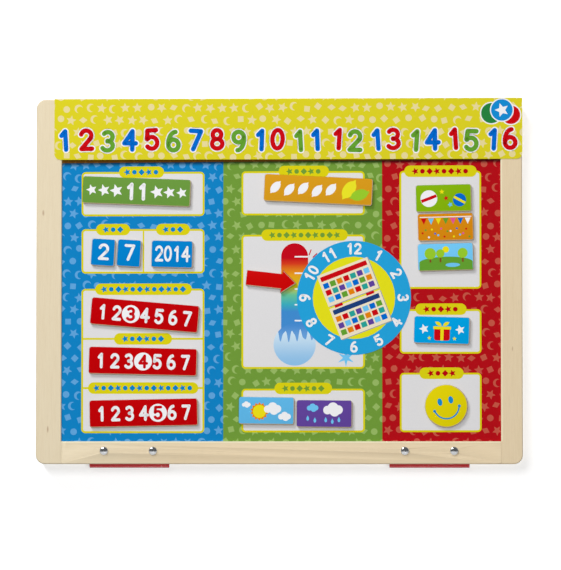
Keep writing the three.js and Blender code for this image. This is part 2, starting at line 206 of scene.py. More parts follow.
class CalendarColours(bpy.types.PropertyGroup):
    """Colours of the woods, the prints and the metals."""

    wood: tint("Wood", "Pale wood of the frames", 235, 222, 194)
    wood_dark: tint("Wood grain", "Darker streaks of the wood", 213, 193, 156)
    hardboard: tint("Hardboard", "Backing panels", 150, 112, 70)
    steel: tint("Steel", "Steel sheets", 185, 188, 192)
    chrome: tint("Chrome", "Rivets", 226, 228, 231)
    magnet: tint("Magnet", "Magnet sheets", 58, 54, 52)
    fibre: tint("Tile edge", "Pressed wood at the tiles' edges", 201, 180, 148)
    strap: tint("Strap", "Glossy straps", 226, 10, 28)
    blue: tint("Blue band", "Left band of the print", 4, 130, 197)
    green: tint("Green band", "Middle band of the print", 112, 154, 56)
    red: tint("Red band", "Right band of the print", 180, 3, 17)
    card: tint("Card", "Header card", 217, 206, 36)
    white: tint("White", "White ink", 240, 240, 242)
    field: tint("Field", "White fields of the print", 222, 221, 222)
    line: tint("Line", "Yellow lines and tabs of the print", 216, 206, 18)


def sizes():
    return bpy.context.scene.calendar_sizes


def colours():
    return bpy.context.scene.calendar_colours


class Value:
    """A number that varies over a surface. Python's operators add the Math nodes."""

    def __init__(self, paint, socket):
        self.paint = paint
        self.socket = socket

    def __rsub__(self, other):
        return self.paint.maths("SUBTRACT", other, self)

    def __abs__(self):
        return self.paint.maths("ABSOLUTE", self)


def operator(operation):
    """A method that adds a Math node to the tree."""
    return lambda value, other: value.paint.maths(operation, value, other)


for signs, operation in (
    (("add", "radd"), "ADD"),
    (("sub",), "SUBTRACT"),
    (("mul", "rmul"), "MULTIPLY"),
    (("truediv",), "DIVIDE"),
    (("lt",), "LESS_THAN"),
    (("gt",), "GREATER_THAN"),
    (("pow",), "POWER"),
    (("mod",), "FLOORED_MODULO"),
):
    for sign in signs:
        setattr(Value, f"__{sign}__", operator(operation))


class Nodes:
    """Adds nodes to a tree, and sets or links their sockets."""

    def __init__(self, tree):
        self.tree = tree

    def plug(self, socket, value):
        if isinstance(value, Value):
            self.tree.links.new(value.socket, socket)
        elif socket.type == "RGBA":
            socket.default_value = (*value, 1)
        else:
            socket.default_value = value

    def node(self, kind, inputs=None, output=0, stops=None, **settings):
        """Any node: its settings first, then the values or links of its sockets."""
        made = self.tree.nodes.new(kind)
        for name, value in settings.items():
            setattr(made, name, value)
        for position, (at, stop) in enumerate(stops or []):
            ramp = made.color_ramp.elements
            element = ramp[position] if position < len(ramp) else ramp.new(at)
            element.position = at
            element.color = (*stop, 1)
        for name, value in (inputs or {}).items():
            self.plug(made.inputs[name], value)
        return Value(self, made.outputs[output])

    def maths(self, operation, *values):
        return self.node("ShaderNodeMath", dict(enumerate(values)), operation=operation)

    def axes(self, vector):
        """X, Y and Z of a vector."""
        split = self.node("ShaderNodeSeparateXYZ", {0: vector}).socket.node
        return [Value(self, socket) for socket in split.outputs]

    def vector(self, *parts):
        return self.node("ShaderNodeCombineXYZ", dict(enumerate(parts)))

    def between(self, value, low, high, start=0.0, end=1.0):
        """A smooth change from one number to another as a value goes from low to high."""
        inputs = {"Value": value, 1: low, 2: high, 3: start, 4: end}
        return self.node("ShaderNodeMapRange", inputs, interpolation_type="SMOOTHSTEP")


class Paint(Nodes):
    """A material built from nodes around one Principled shader."""

    def __init__(self, name):
        self.material = bpy.data.materials.new(name)
        self.material.use_nodes = True
        super().__init__(self.material.node_tree)
        self.shader = self.tree.nodes["Principled BSDF"]
        self.place = self.node("ShaderNodeTexCoord", output="Object")

    def stretched(self, *scale):
        return self.node("ShaderNodeMapping", {"Vector": self.place, "Scale": scale})

    def noise(self, scale, detail=2.0, vector=None, roughness=0.5, distortion=0.0):
        inputs = {
            "Vector": vector or self.place,
            "Scale": scale,
            "Detail": detail,
            "Roughness": roughness,
            "Distortion": distortion,
        }
        return self.node("ShaderNodeTexNoise", inputs)

    def mix(self, share, first, second):
        inputs = {0: share, 6: first, 7: second}
        return self.node("ShaderNodeMix", inputs, output=2, data_type="RGBA", clamp_factor=True)

    def varied(self, share, tone, dark, light):
        """Between a darker and a lighter share of a colour."""
        return self.mix(share, shade(tone, dark), shade(tone, light))

    def clamped(self, value):
        return self.node("ShaderNodeClamp", {"Value": value, "Min": 0.0, "Max": 1.0})

    def ramp(self, value, *stops):
        return self.node("ShaderNodeValToRGB", {0: value}, stops=stops)

    def bump(self, height, depth, strength=1.0):
        inputs = {"Strength": strength, "Distance": depth, "Height": height}
        return self.node("ShaderNodeBump", inputs)

    def done(self, base, roughness, normal=None, **sockets):
        """Sets or links the shader's sockets, some named with underscores for spaces."""
        sockets.update(Base_Color=base, Roughness=roughness)
        if normal is not None:
            sockets["Normal"] = normal
        for name, value in sockets.items():
            self.plug(self.shader.inputs[name.replace("_", " ")], value)
        return self.material


def shade(tone, share):
    """A colour with all its parts times a share."""
    return tuple(min(1.0, part * share) for part in tone)


def material(build):
    """Turns a function that fills a Paint into one that makes each named material once."""

    @functools.cache
    def made(name, *details):
        return build(Paint(name), *details)

    return made


@material
def ink(paint, tone, roughness=0.46):
    """Printing ink on coated paper: faintly mottled, with an even satin gloss."""
    mottle = paint.noise(900, 3)
    bump = paint.bump(paint.noise(5200, 2), 0.006 * MM, 0.5)
    base = paint.varied(mottle, tone, 0.965, 1.035)
    rough = mottle * 0.12 + (roughness - 0.06)
    return paint.done(base, rough, bump, Specular_IOR_Level=PRINT_GLOSS)


@material
def wood(paint, along, knots=()):
    """Pale close-grained wood with its grain along one axis, and small knots at given places. Along
    the lower and right edges of the print it carries a painted highlight.
    """

    def grain(scale, detail, stretch, *more):
        factors = [stretch if axis == along else 1.0 for axis in "XYZ"]
        return paint.noise(scale, detail, paint.stretched(*factors), *more)

    streaks = grain(1500, 4, 0.035, 0.62)
    figure = grain(150, 3, 0.07, 0.55, 0.6)
    pores = grain(3800, 2, 0.035)
    drift = paint.noise(9, 2)
    rings = paint.maths("SINE", figure * 46 + drift * 5) * 0.5 + 0.5
    share = (streaks - 0.5) * 0.6 + rings * 0.025 + (drift - 0.5) * 0.12 + 0.31
    x, _, z = paint.axes(paint.place)
    warmth = paint.between(x, -190 * MM, -60 * MM)
    tones = colours()
    pale, dark = (
        paint.mix(warmth, tuple(tone), tuple(part * warm for part, warm in zip(tone, WARM)))
        for tone in (tones.wood, tones.wood_dark)
    )
    pore = paint.clamped((pores - 0.60) * 5)
    base = paint.mix(pore * 0.30, paint.mix(share, pale, dark), shade(tones.wood_dark, 0.62))
    sill = BOARD_BOTTOM + RAIL_HEIGHT
    # Painted highlight: a paler band along the wood at the lower and right edges of the print
    if along == "X":
        rim = (z > sill - PAINTED_HIGHLIGHT_WIDTH) * (z < sill + MM)
    else:
        rim = (x > OPENING_RIGHT) * (x < OPENING_RIGHT + PAINTED_HIGHLIGHT_WIDTH) * (z > sill)
    base = paint.mix(rim * 0.55, base, colour(246, 242, 208))
    for knot_x, knot_z, width, height, depth in knots:
        away = ((x - knot_x) / width) ** 2 + ((z - knot_z) / height) ** 2
        spot = paint.clamped(1 - (away + (streaks - 0.5) * 0.9))
        base = paint.mix(spot * depth, base, colour(140, 88, 48))
    bump = paint.bump(streaks * 0.6 + pores * 0.4, 0.05 * MM, 0.55)
    return paint.done(base, streaks * 0.22 + 0.42, bump, Specular_IOR_Level=WOOD_GLOSS)


@material
def hardboard(paint):
    """Pressed brown fibre: smooth and dark, with long fibres lying every way."""
    tone = colours().hardboard
    felt = paint.noise(420, 6, roughness=0.7, distortion=1.5)
    specks = paint.noise(2600, 3)
    base = paint.varied(felt, tone, 0.72, 1.2)
    base = paint.mix((specks > 0.63) * 0.5, base, shade(tone, 0.45))
    bump = paint.bump(felt * 0.7 + specks * 0.3, 0.12 * MM, 0.6)
    return paint.done(base, felt * 0.2 + 0.58, bump)


@material
def steel(paint):
    """Rolled steel sheet, with fine lines along its length."""
    lines = paint.noise(1800, 3, paint.stretched(0.02, 1.0, 1.0), 0.6)
    base = paint.varied(lines, colours().steel, 0.86, 1.08)
    rough = lines * 0.16 + paint.noise(30, 3) * 0.14 + 0.22
    return paint.done(base, rough, paint.bump(lines, 0.004 * MM, 0.5), Metallic=1.0)


@material
def chrome(paint):
    """Bright plated metal with hair scratches and a few dull spots."""
    hairs = paint.noise(5200, 2, paint.stretched(1.0, 1.0, 0.12), 0.6)
    dull = paint.noise(420, 3)
    base = paint.varied(dull, colours().chrome, 0.88, 1.04)
    rough = hairs * 0.08 + dull * 0.08 + 0.07
    return paint.done(base, rough, paint.bump(hairs, 0.002 * MM, 0.4), Metallic=1.0)


@material
def magnet_rubber(paint):
    """Flexible magnet sheet: dark filled rubber with a fine ground surface."""
    ground = paint.noise(3000, 4, paint.stretched(0.08, 1.0, 1.0), 0.6)
    base = paint.varied(paint.noise(160, 3), colours().magnet, 0.75, 1.25)
    return paint.done(base, ground * 0.2 + 0.6, paint.bump(ground, 0.02 * MM, 0.5))


@material
def pressed_wood(paint):
    """Cut edge of thin pressed wood: fine fibres in layers along Y."""
    tone = colours().fibre
    layers = paint.noise(2400, 4, paint.stretched(0.25, 1.0, 0.25), 0.65)
    specks = paint.noise(6500, 2)
    base = paint.varied(layers, tone, 0.70, 1.18)
    base = paint.mix((specks > 0.64) * 0.45, base, shade(tone, 0.5))
    bump = paint.bump(layers * 0.6 + specks * 0.4, 0.04 * MM, 0.6)
    return paint.done(base, layers * 0.15 + 0.68, bump, Specular_IOR_Level=WOOD_GLOSS)


@material
def vinyl(paint):
    """Glossy red plastic strap with a fine stretched emboss."""
    emboss = paint.noise(1900, 3, paint.stretched(0.5, 1.0, 1.0), 0.55)
    waves = paint.noise(45, 2, paint.stretched(1.0, 0.4, 0.4))
    base = paint.varied(emboss, colours().strap, 0.9, 1.1)
    bump = paint.bump(emboss * 0.1 + waves * 0.9, 0.1 * MM, 0.5)
    gloss = {"Specular_IOR_Level": 1.0, "Coat_Weight": waves * 0.2 + 0.75, "Coat_Roughness": 0.05}
    return paint.done(base, emboss * 0.1 + 0.16, bump, **gloss)


def motifs(paint, across, up):
    """1 on small stars, discs, squares, diamonds and crescents strewn over a print, 0 between.

    Every second row is shifted by half a pitch, and each motif has its own turn and place.
    Their sizes are in millimetres."""
    pitch = sizes().motif_pitch
    row = paint.maths("FLOOR", up / pitch)
    shifted = across / pitch + (row % 2) * 0.5
    column = paint.maths("FLOOR", shifted)
    cell = paint.vector(column + 11.5, row + 7.5, 3.5)
    noise = paint.node("ShaderNodeTexWhiteNoise", {"Vector": cell}, noise_dimensions="3D")
    kind = Value(paint, noise.socket.node.outputs["Value"])
    spin, right, rise = paint.axes(Value(paint, noise.socket.node.outputs["Color"]))
    millimetres = pitch / MM
    is_star = kind < 0.3
    stray = 2.6 - is_star * 1.7
    x = (shifted - column - 0.5) * millimetres - (right - 0.5) * stray
    y = (up / pitch - row - 0.5) * millimetres - (rise - 0.5) * stray
    angle = spin * (2 * math.pi)
    cosine, sine = paint.maths("COSINE", angle), paint.maths("SINE", angle)
    u = x * cosine + y * sine
    v = y * cosine - x * sine
    away = paint.maths("SQRT", u * u + v * v)
    disc = away < 2.75
    square = paint.maths("MAXIMUM", abs(u), abs(v)) < 2.35
    diamond = abs(u) / 2.6 + abs(v) / 3.5 < 1
    bite = paint.maths("SQRT", (u - 1.55) ** 2 + (v - 0.3) ** 2)
    crescent = (away < 3.5) * (bite > 2.9)
    tip, notch, fifth = 4.3, 2.0, math.pi / 5
    bearing = paint.maths("ARCTAN2", v, u)
    fold = abs((bearing % (2 * fifth)) - fifth)
    reach = paint.maths("SINE", fifth - fold) * tip + paint.maths("SINE", fold) * notch
    star = away * reach < tip * notch * math.sin(fifth)
    shown = star * is_star
    bounds = [0.3, 0.48, 0.66, 0.82, 1.01]
    for shape, low, high in zip((disc, square, diamond, crescent), bounds, bounds[1:]):
        shown = shown + shape * (kind > low) * (kind < high)
    return shown


def paper_of(paint, scale=700):
    return paint.noise(scale, 4)


def coated(paint, base, paper, roughness=0.42, bump=None):
    """Finishes printed paper with its even gloss."""
    bump = bump or paint.bump(paper, 0.01 * MM, 0.4)
    return paint.done(base, paper * 0.10 + roughness, bump, Specular_IOR_Level=PRINT_GLOSS)


@material
def calendar_print(paint):
    """The front print: a yellow heading over blue, green and red bands, strewn with motifs. The
    heading's lowest strip is brown, as painted shade of the header card on the yellow, and the
    bands just below it darken as a painted shadow of the card."""
    x, _, z = paint.axes(paint.place)
    level = (z - BOARD_BOTTOM - x * HEADING_SLOPE) / MM
    tones = colours()
    bands = (
        (x > GREEN_LEFT * MM, tuple(tones.green), colour(152, 186, 100)),
        (x > RED_LEFT * MM, tuple(tones.red), colour(197, 86, 68)),
        # The heading's lowest strip: brown ground and motifs, the yellow painted as in the card's
        # shade
        (level > HEADING_BOTTOM, colour(104, 66, 8), colour(118, 80, 22)),
        (level > HEADING_BOTTOM + PAINTED_SHADE_STRIP, tuple(tones.card), CREAM),
    )
    ground, motif = tuple(tones.blue), colour(95, 165, 220)
    for beyond, next_ground, next_motif in bands:
        ground = paint.mix(beyond, ground, next_ground)
        motif = paint.mix(beyond, motif, next_motif)
    paper = paper_of(paint)
    base = paint.mix(motifs(paint, x, z), ground, motif)
    base = paint.mix(paper * 0.10, base, shade(tones.white, 0.08))
    # Painted shadow of the header card: the bands darken towards the heading's lower edge
    painted_card_shadow = paint.between(level, HEADING_BOTTOM - PAINTED_SHADOW_DEPTH, HEADING_BOTTOM, 0.0, 0.85)
    base = paint.mix(painted_card_shadow * (level < HEADING_BOTTOM), base, (0.002, 0.003, 0.006))
    return coated(paint, base, paper)


@material
def storage_print(paint):
    """The rear print: one pale blue ground strewn with the same motifs."""
    x, _, z = paint.axes(paint.place)
    paper = paper_of(paint)
    base = paint.mix(motifs(paint, x, z), colour(196, 218, 232), colour(226, 236, 243))
    return coated(paint, paint.mix(paper * 0.10, base, colour(150, 170, 190)), paper)


@material
def card_print(paint):
    """The header card's printed side: yellow, strewn with cream motifs."""
    x, y, z = paint.axes(paint.place)
    paper = paper_of(paint, 650)
    creases = paint.noise(60, 4, distortion=0.8)
    tone = tuple(colours().card)
    base = paint.mix(motifs(paint, x + 2 * MM, z + y + 14.3 * MM), tone, CREAM)
    bump = paint.bump(paper * 0.05 + creases, 0.10 * MM, 0.35)
    return coated(paint, paint.mix(paper * 0.10, base, shade(tone, 0.7)), paper, 0.40, bump)


# The thermometer's colours, by their share of its height
MERCURY = (
    (0.00, 70, 140, 210),
    (0.27, 64, 140, 208),
    (0.35, 60, 175, 190),
    (0.45, 105, 195, 150),
    (0.53, 200, 200, 30),
    (0.66, 232, 160, 30),
    (0.78, 215, 60, 30),
    (0.84, 196, 8, 28),
)


@material
def mercury(paint):
    """The thermometer's tube: its colour runs from blue at the bottom to red at the top."""
    z = paint.axes(paint.place)[2]
    paper = paper_of(paint)
    height = (z - BOARD_BOTTOM - TUBE_BOTTOM * MM) / ((TUBE_TOP - TUBE_BOTTOM) * MM)
    base = paint.ramp(height, *((at, colour(*screen)) for at, *screen in MERCURY))
    return coated(paint, paint.mix(paper * 0.06, base, (0, 0, 0)), paper)


@material
def frosted(paint, high, low):
    """The thermometer's bulb: a darker blue over a pale one, with a wavy edge between."""
    x, _, z = paint.axes(paint.place)
    paper = paper_of(paint)
    wave = paint.maths("SINE", x / MM * 0.95) * 4.2 + paint.maths("SINE", x / MM * 1.7) * 1.4
    level = (z - BOARD_BOTTOM) / MM
    rise = paint.between(level, high - 12, high)
    top = paint.mix(rise, colour(105, 160, 218), colour(70, 138, 208))
    rise = paint.between(level, low, high)
    bottom = paint.mix(rise, colour(140, 190, 230), colour(212, 232, 244))
    return coated(paint, paint.mix(level + wave > high - 10, bottom, top), paper)


@material
def card_stock(paint):
    """Bare white card: the inside and the cut edges of the header."""
    fibres = paint.noise(1400, 5, roughness=0.65)
    base = paint.mix(fibres, colour(214, 210, 200), colour(238, 236, 230))
    return paint.done(base, fibres * 0.15 + 0.7, paint.bump(fibres, 0.02 * MM, 0.5))


def clear():
    """Nothing selected, in object mode."""
    active = bpy.context.view_layer.objects.active
    if active and active.mode != "OBJECT":
        bpy.ops.object.mode_set(mode="OBJECT")
    bpy.ops.object.select_all(action="DESELECT")


def pick(piece):
    """Only this piece selected, and active."""
    clear()
    piece.select_set(True)
    bpy.context.view_layer.objects.active = piece


@contextlib.contextmanager
def editing(piece):
    """Edit mode on a piece, and object mode again afterwards."""
    pick(piece)
    bpy.ops.object.mode_set(mode="EDIT")
    yield
    bpy.ops.object.mode_set(mode="OBJECT")


def added(name):
    """The piece that an operator has just added, under its own name."""
    piece = bpy.context.object
    piece.name = name
    piece.data.name = name
    return piece


def select_all():
    bpy.ops.mesh.select_all(action="SELECT")


def choose(piece, kind, test):
    """In edit mode, selects the vertices, edges or faces of a piece that pass a test."""
    bpy.ops.mesh.select_mode(type={"verts": "VERT", "edges": "EDGE", "faces": "FACE"}[kind])
    bpy.ops.mesh.select_all(action="DESELECT")
    mesh = bmesh.from_edit_mesh(piece.data)
    mesh.normal_update()
    for part in list(getattr(mesh, kind)):
        if test(part):
            part.select_set(True)
    bmesh.update_edit_mesh(piece.data)


def middle_of(edge):
    return (edge.verts[0].co + edge.verts[1].co) / 2


def near(value, goal):
    return abs(value - goal) < NEAR


def is_fold(edge, angle=math.radians(50)):
    """Whether the two faces at an edge meet at a real corner."""
    return len(edge.link_faces) == 2 and edge.calc_face_angle() > angle


def outward():
    """In edit mode, turns all faces outwards."""
    select_all()
    bpy.ops.mesh.normals_make_consistent(inside=False)


def pull(*move):
    """In edit mode, extrudes what is selected."""
    bpy.ops.mesh.extrude_region_move(TRANSFORM_OT_translate={"value": move})


def thicken(thickness):
    """In edit mode, raises the flat piece into a plate with its back where it was."""
    select_all()
    pull(0, 0, thickness)
    outward()


def flat(name, width, height):
    """A flat face about the origin."""
    clear()
    bpy.ops.mesh.primitive_plane_add(size=1)
    piece = added(name)
    with editing(piece):
        bpy.ops.transform.resize(value=(width, height, 1))
    return piece


def plate(name, width, height, thickness, radius=0.0, steps=5, corners=None):
    """A flat plate, its back at Z 0, with rounded corners: all of them, or those that pass a
    test on their places."""
    piece = flat(name, width, height)
    with editing(piece):
        if radius:
            choose(piece, "verts", lambda vertex: corners is None or corners(vertex.co))
            bpy.ops.mesh.bevel(offset=radius, segments=steps, affect="VERTICES")
        thicken(thickness)
    return piece


def round_plate(name, sides, radius, thickness, adjust=None):
    """A plate with a regular outline of so many sides, which may be adjusted first."""
    clear()
    bpy.ops.mesh.primitive_circle_add(vertices=sides, radius=radius, fill_type="NGON")
    piece = added(name)
    with editing(piece):
        if adjust:
            adjust(piece)
        thicken(thickness)
    return piece


def upright(name, low, high, y, bottom):
    """A flat face in the plane of the boards, as wide and high as a box from a level up."""
    piece = flat(name, high.x - low.x, high.z - bottom)
    place = ((low.x + high.x) / 2, y, (bottom + high.z) / 2)
    piece.data.transform(Matrix.Translation(place) @ STAND)
    return piece


def block(low, high):
    """A box between two corners, to join to a piece or to cut from it."""
    clear()
    middle = (Vector(low) + Vector(high)) / 2
    bpy.ops.mesh.primitive_cube_add(size=1, location=middle)
    piece = bpy.context.object
    piece.scale = Vector(high) - Vector(low)
    return settle(piece)


def rod(x, y, low, high, diameter, sides=32):
    """A round bar along Z."""
    clear()
    bpy.ops.mesh.primitive_cylinder_add(
        vertices=sides,
        radius=diameter / 2,
        depth=high - low,
        location=(x, y, (low + high) / 2),
    )
    return settle(bpy.context.object)


def settle(piece):
    """Puts a piece's place, turn and size into its mesh."""
    pick(piece)
    bpy.ops.object.transform_apply(location=True, rotation=True, scale=True)
    return piece


def moved(piece, matrix):
    """Moves a piece that sits at the origin and puts the move into its mesh."""
    piece.matrix_world = matrix
    return settle(piece)


def shifted(piece, x=0, y=0, z=0):
    """Moves a piece's mesh."""
    piece.data.transform(Matrix.Translation((x, y, z)))
    return piece


def apply(piece, kind, **settings):
    """Adds a modifier with these settings and applies it."""
    pick(piece)
    modifier = piece.modifiers.new(kind.title(), kind)
    for name, value in settings.items():
        setattr(modifier, name, value)
    bpy.ops.object.modifier_apply(modifier=modifier.name)


def carve(piece, tool, operation="DIFFERENCE"):
    """Cuts one piece from another, or joins it on, and removes the tool."""
    apply(piece, "BOOLEAN", operation=operation, object=tool, solver="EXACT")
    bpy.data.objects.remove(tool)


def round_edges(piece, width, steps, test):
    """Rounds the edges that pass a test."""
    with editing(piece):
        choose(piece, "edges", test)
        bpy.ops.mesh.bevel(offset=width, segments=steps, affect="EDGES", clamp_overlap=True)


def smooth(piece, angle=SHARP):
    pick(piece)
    bpy.ops.object.shade_smooth_by_angle(angle=angle)


def copy_of(piece, name):
    """A copy with a mesh of its own."""
    copy = piece.copy()
    copy.data = piece.data.copy()
    copy.name = name
    copy.data.name = name
    bpy.context.scene.collection.objects.link(copy)
    return copy


def joined(pieces, name):
    """Several pieces as one, in the order that they were given."""
    clear()
    for piece in pieces:
        piece.select_set(True)
    bpy.context.view_layer.objects.active = pieces[0]
    if len(pieces) > 1:
        bpy.ops.object.join()
    return added(name)


def coat(piece, *materials):
    """Gives a piece its materials, the first one on all its faces."""
    piece.data.materials.clear()
    for material in materials:
        piece.data.materials.append(material)
    return piece


def fasten(piece, body, slot, *nodes):
    """A finished piece rides on a body and stands for nodes of the frame."""
    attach(piece, body)
    if nodes:
        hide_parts(*nodes)


def fasten_print(parts, name):
    """Joins what is printed on the front board and sets it on its face."""
    piece = joined(parts, name)
    moved(piece, Matrix.Translation((0, PRINT_FRONT, 0)) @ FRONT)
    fasten(piece, "front_board", "calendar_print")


def dress(node, material):
    """A better finish on a node of the frame that keeps its shape."""
    for slot in frame["nodes"][node].material_slots:
        slot.material = material


# Flat shapes, one unit wide and one layer of ink thick, which are modelled once and copied
shapes = {}


def draw_in(piece, share):
    """Draws every second corner of a regular outline in towards the middle."""
    choose(piece, "verts", lambda vertex: vertex.index % 2 == 1)
    bpy.ops.transform.resize(value=(share, share, 1), center_override=(0, 0, 0))


def pull_up(piece, by, from_height):
    """Draws the part of an outline above a height up into a point."""
    choose(piece, "verts", lambda vertex: vertex.co.y > from_height)
    bpy.ops.transform.resize(value=(0.12, 1, 1), center_override=(0, 0, 0))
    bpy.ops.transform.translate(value=(0, by, 0))


def pointed(piece):
    """Draws a round outline out to a point at each end, as a leaf."""
    bpy.ops.transform.resize(value=(0.8, 0.5, 1))
    choose(piece, "verts", lambda vertex: abs(vertex.co.y) < 0.01)
    bpy.ops.transform.resize(value=(1.25, 1, 1), center_override=(0, 0, 0))


def bow(x, y, wide, high, start, end, steps=14):
    """Points along an ellipse, from one bearing to another in degrees."""
    bearings = [math.radians(start + (end - start) * step / steps) for step in range(steps + 1)]
    return [(x + wide * math.cos(angle), y + high * math.sin(angle)) for angle in bearings]


# Strokes of the figures, one unit high about the origin
SIX = [bow(0.12, -0.15, 0.4, 0.65, 92, 180), bow(0, -0.21, 0.28, 0.29, 180, 540, 22)]
FIGURES = {
    "0": [bow(0, 0, 0.28, 0.5, 90, 450, 26)],
    "1": [[(-0.15, 0.27), (0.06, 0.5)], [(0.06, 0.5), (0.06, -0.5)]],
    "2": [
        bow(0, 0.22, 0.28, 0.28, 165, -38),
        [(0.22, 0.05), (-0.28, -0.5)],
        [(-0.28, -0.5), (0.3, -0.5)],
    ],
    "3": [bow(-0.03, 0.25, 0.26, 0.25, 145, -90), bow(-0.03, -0.24, 0.3, 0.26, 90, -145)],
    "4": [
        [(0.14, -0.5), (0.14, 0.5)],
        [(0.14, 0.5), (-0.3, -0.16)],
        [(-0.3, -0.16), (0.33, -0.16)],
    ],
    "5": [
        [(0.27, 0.5), (-0.2, 0.5)],
        [(-0.2, 0.5), (-0.25, 0.04)],
        bow(-0.01, -0.18, 0.3, 0.32, 138, -145, 18),
    ],
    "6": SIX,
    "7": [[(-0.28, 0.5), (0.28, 0.5)], [(0.28, 0.5), (-0.08, -0.5)]],
    "8": [bow(0, 0.26, 0.23, 0.24, -90, 270, 20), bow(0, -0.24, 0.28, 0.26, 90, 450, 22)],
    "9": [[(-x, -y) for x, y in path] for path in SIX],
}


def stroked(name, paths, width):
    """Flat strokes along paths, with round ends."""
    parts = []
    for path in paths:
        clear()
        bpy.ops.curve.primitive_nurbs_path_add()
        curve = added(name).data
        curve.splines.clear()
        spline = curve.splines.new("POLY")
        spline.points.add(len(path) - 1)
        for point, (x, y) in zip(spline.points, path):
            point.co = (x, y, 0, 1)
        curve.bevel_depth = width / 2
        curve.bevel_resolution = 0
        curve.use_fill_caps = True
        bpy.ops.object.convert(target="MESH")
        ribbon = bpy.context.object
        thin = Matrix.Diagonal((1, 1, INK / width, 1))
        ribbon.data.transform(Matrix.Translation((0, 0, INK / 2)) @ thin)
        parts.append(ribbon)
    ends = {(round(x, 3), round(y, 3)) for path in paths for x, y in (path[0], path[-1])}
    for index, (x, y) in enumerate(sorted(ends)):
        end = copy_of(shapes["dot"], name)
        end.data.transform(Matrix.Diagonal((width, width, 1 - 0.08 * index, 1)))
        parts.append(shifted(end, x, y))
    piece = joined(parts, name)
    bpy.ops.object.shade_flat()
    return piece


# Kinds of figures: how wide a stroke is for a figure one unit high along its strokes
PLAIN, BOLD, OUTLINED = "plain", "bold", "outlined"
STROKES = {PLAIN: 0.21, BOLD: 0.25, OUTLINED: 0.38}

# Flat shapes from a regular outline: its sides, and what adjusts it, with its measures
OUTLINES = {
    "disc": (36,),
    "dot": (14,),
    "triangle": (3,),
    "star": (10, draw_in, 0.46),
    "sun": (28, draw_in, 0.78),
    "flake": (12, draw_in, 0.34),
    "drop": (18, pull_up, 0.35, 0.3),
    "leaf": (20, pointed),
}


def make_shapes():
    """Models each flat shape once. The shapes are removed when all is made."""
    for name, (sides, *change) in OUTLINES.items():
        adjust = (lambda piece: change[0](piece, *change[1:])) if change else None
        shapes[name] = round_plate(name, sides, 0.5, INK, adjust)
    shapes["square"] = plate("square", 1, 1, INK)
    shapes["soft_square"] = plate("soft_square", 1, 1, INK, 0.16, 4)
    ends = [copy_of(shapes["disc"], "end") for _ in range(2)]
    for end, side in zip(ends, (-0.5, 0.5)):
        end.data.transform(Matrix.Diagonal((0.12, 0.12, 1, 1)))
        shifted(end, side, 0.1, 0.1 * INK)
    smile = stroked("smile", [bow(0, 0.2, 0.5, 0.5, 194, 346, 24)], 0.06)
    shapes["smile"] = joined([smile, *ends], "smile")
    shapes["grin"] = stroked("grin", [bow(0, 0.2, 0.4, 0.46, 200, 340, 20)], 0.12)
    shapes["line"] = stroked("line", [[(-0.4, -0.1), (0.4, -0.1)]], 0.06)
    for kind, width in STROKES.items():
        for figure, paths in FIGURES.items():
            shapes[kind + figure] = stroked(kind + figure, paths, width)


def drop_shapes():
    for piece in shapes.values():
        bpy.data.objects.remove(piece)
    shapes.clear()


def lay(shape, paint, x, y, width, height=None, turn=0.0, level=1.0):
    """A copy of a flat shape on a face: its ink or the ink's name, its place and size in
    millimetres, its turn in degrees, anticlockwise, and how many layers up it lies."""
    piece = copy_of(shapes[shape], shape)
    size = Matrix.Diagonal((width * MM, (height or width) * MM, 1, 1))
    piece.data.transform(Matrix.Rotation(math.radians(turn), 4, "Z") @ size)
    shifted(piece, x * MM, y * MM, level * LAYER)
    return coat(piece, tone(paint) if isinstance(paint, str) else paint)


def draw(*rows):
    """Several shapes, each row as lay takes it."""
    return [lay(*row) for row in rows]


def number(figures, paint, x, y, height, kind=PLAIN, level=1.0, turn=0.0, narrow=1.0):
    """A row of figures about a point, which may be narrower than usual."""
    step = height * narrow * 0.7
    angle = math.radians(turn)
    size = height / (1 + STROKES[PLAIN])
    row = []
    for index, figure in enumerate(figures):
        along = step * (index - (len(figures) - 1) / 2)
        place = (x + along * math.cos(angle), y + along * math.sin(angle))
        row.append(lay(kind + figure, paint, *place, size * narrow, size, turn, level))
    return row


INKS = {
    "white": (240, 240, 242),
    "yellow": (235, 222, 25),
    "orange": (226, 130, 12),
    "red": (200, 8, 18),
    "pink": (226, 84, 150),
    "purple": (95, 65, 155),
    "blue": (0, 105, 205),
    "azure": (20, 138, 208),
    "sky": (110, 195, 240),
    "forest": (38, 128, 62),
    "navy": (28, 62, 120),
    "teal": (40, 160, 150),
    "green": (98, 158, 48),
    "lime": (150, 200, 45),
    "leaf": (232, 226, 40),
    "brown": (128, 72, 36),
    "grey": (150, 155, 165),
}


def tone(name):
    return ink(f"ink_{name}", colour(*INKS[name]))


def cloud(x, y, width, fill="white", level=2.0):
    """A cloud of four puffs on a flat base."""
    puffs = [(-0.27, -0.02, 0.42), (0.0, 0.1, 0.52), (0.26, 0.0, 0.44), (0.08, -0.08, 0.5)]
    return [
        lay("disc", fill, x + dx * width, y + dy * width, size * width, level=level + at / 4)
        for at, (dx, dy, size) in enumerate(puffs)
    ]


def month_art(figures):
    art = number(figures, "white", 0, 0, 14.4, BOLD)
    for side in (-1, 1):
        for step in range(3):
            art += draw(("star", "white", side * (17 + 10.4 * step), 0.2, 11.4 - step, None, 18))
    return art


def weekday_art(day):
    """Plain numbers from 1 to 7, with one of them ringed."""
    art = []
    for figure in range(1, 8):
        x = (figure - 4) * 11.8
        if figure == day:
            art.append(lay("disc", "white", x, 0, 15))
            art += number(str(figure), "red", x, 0, 11.4, BOLD, level=2)
        else:
            art += number(str(figure), "white", x, 0, 12.6, BOLD, narrow=0.9)
    return art


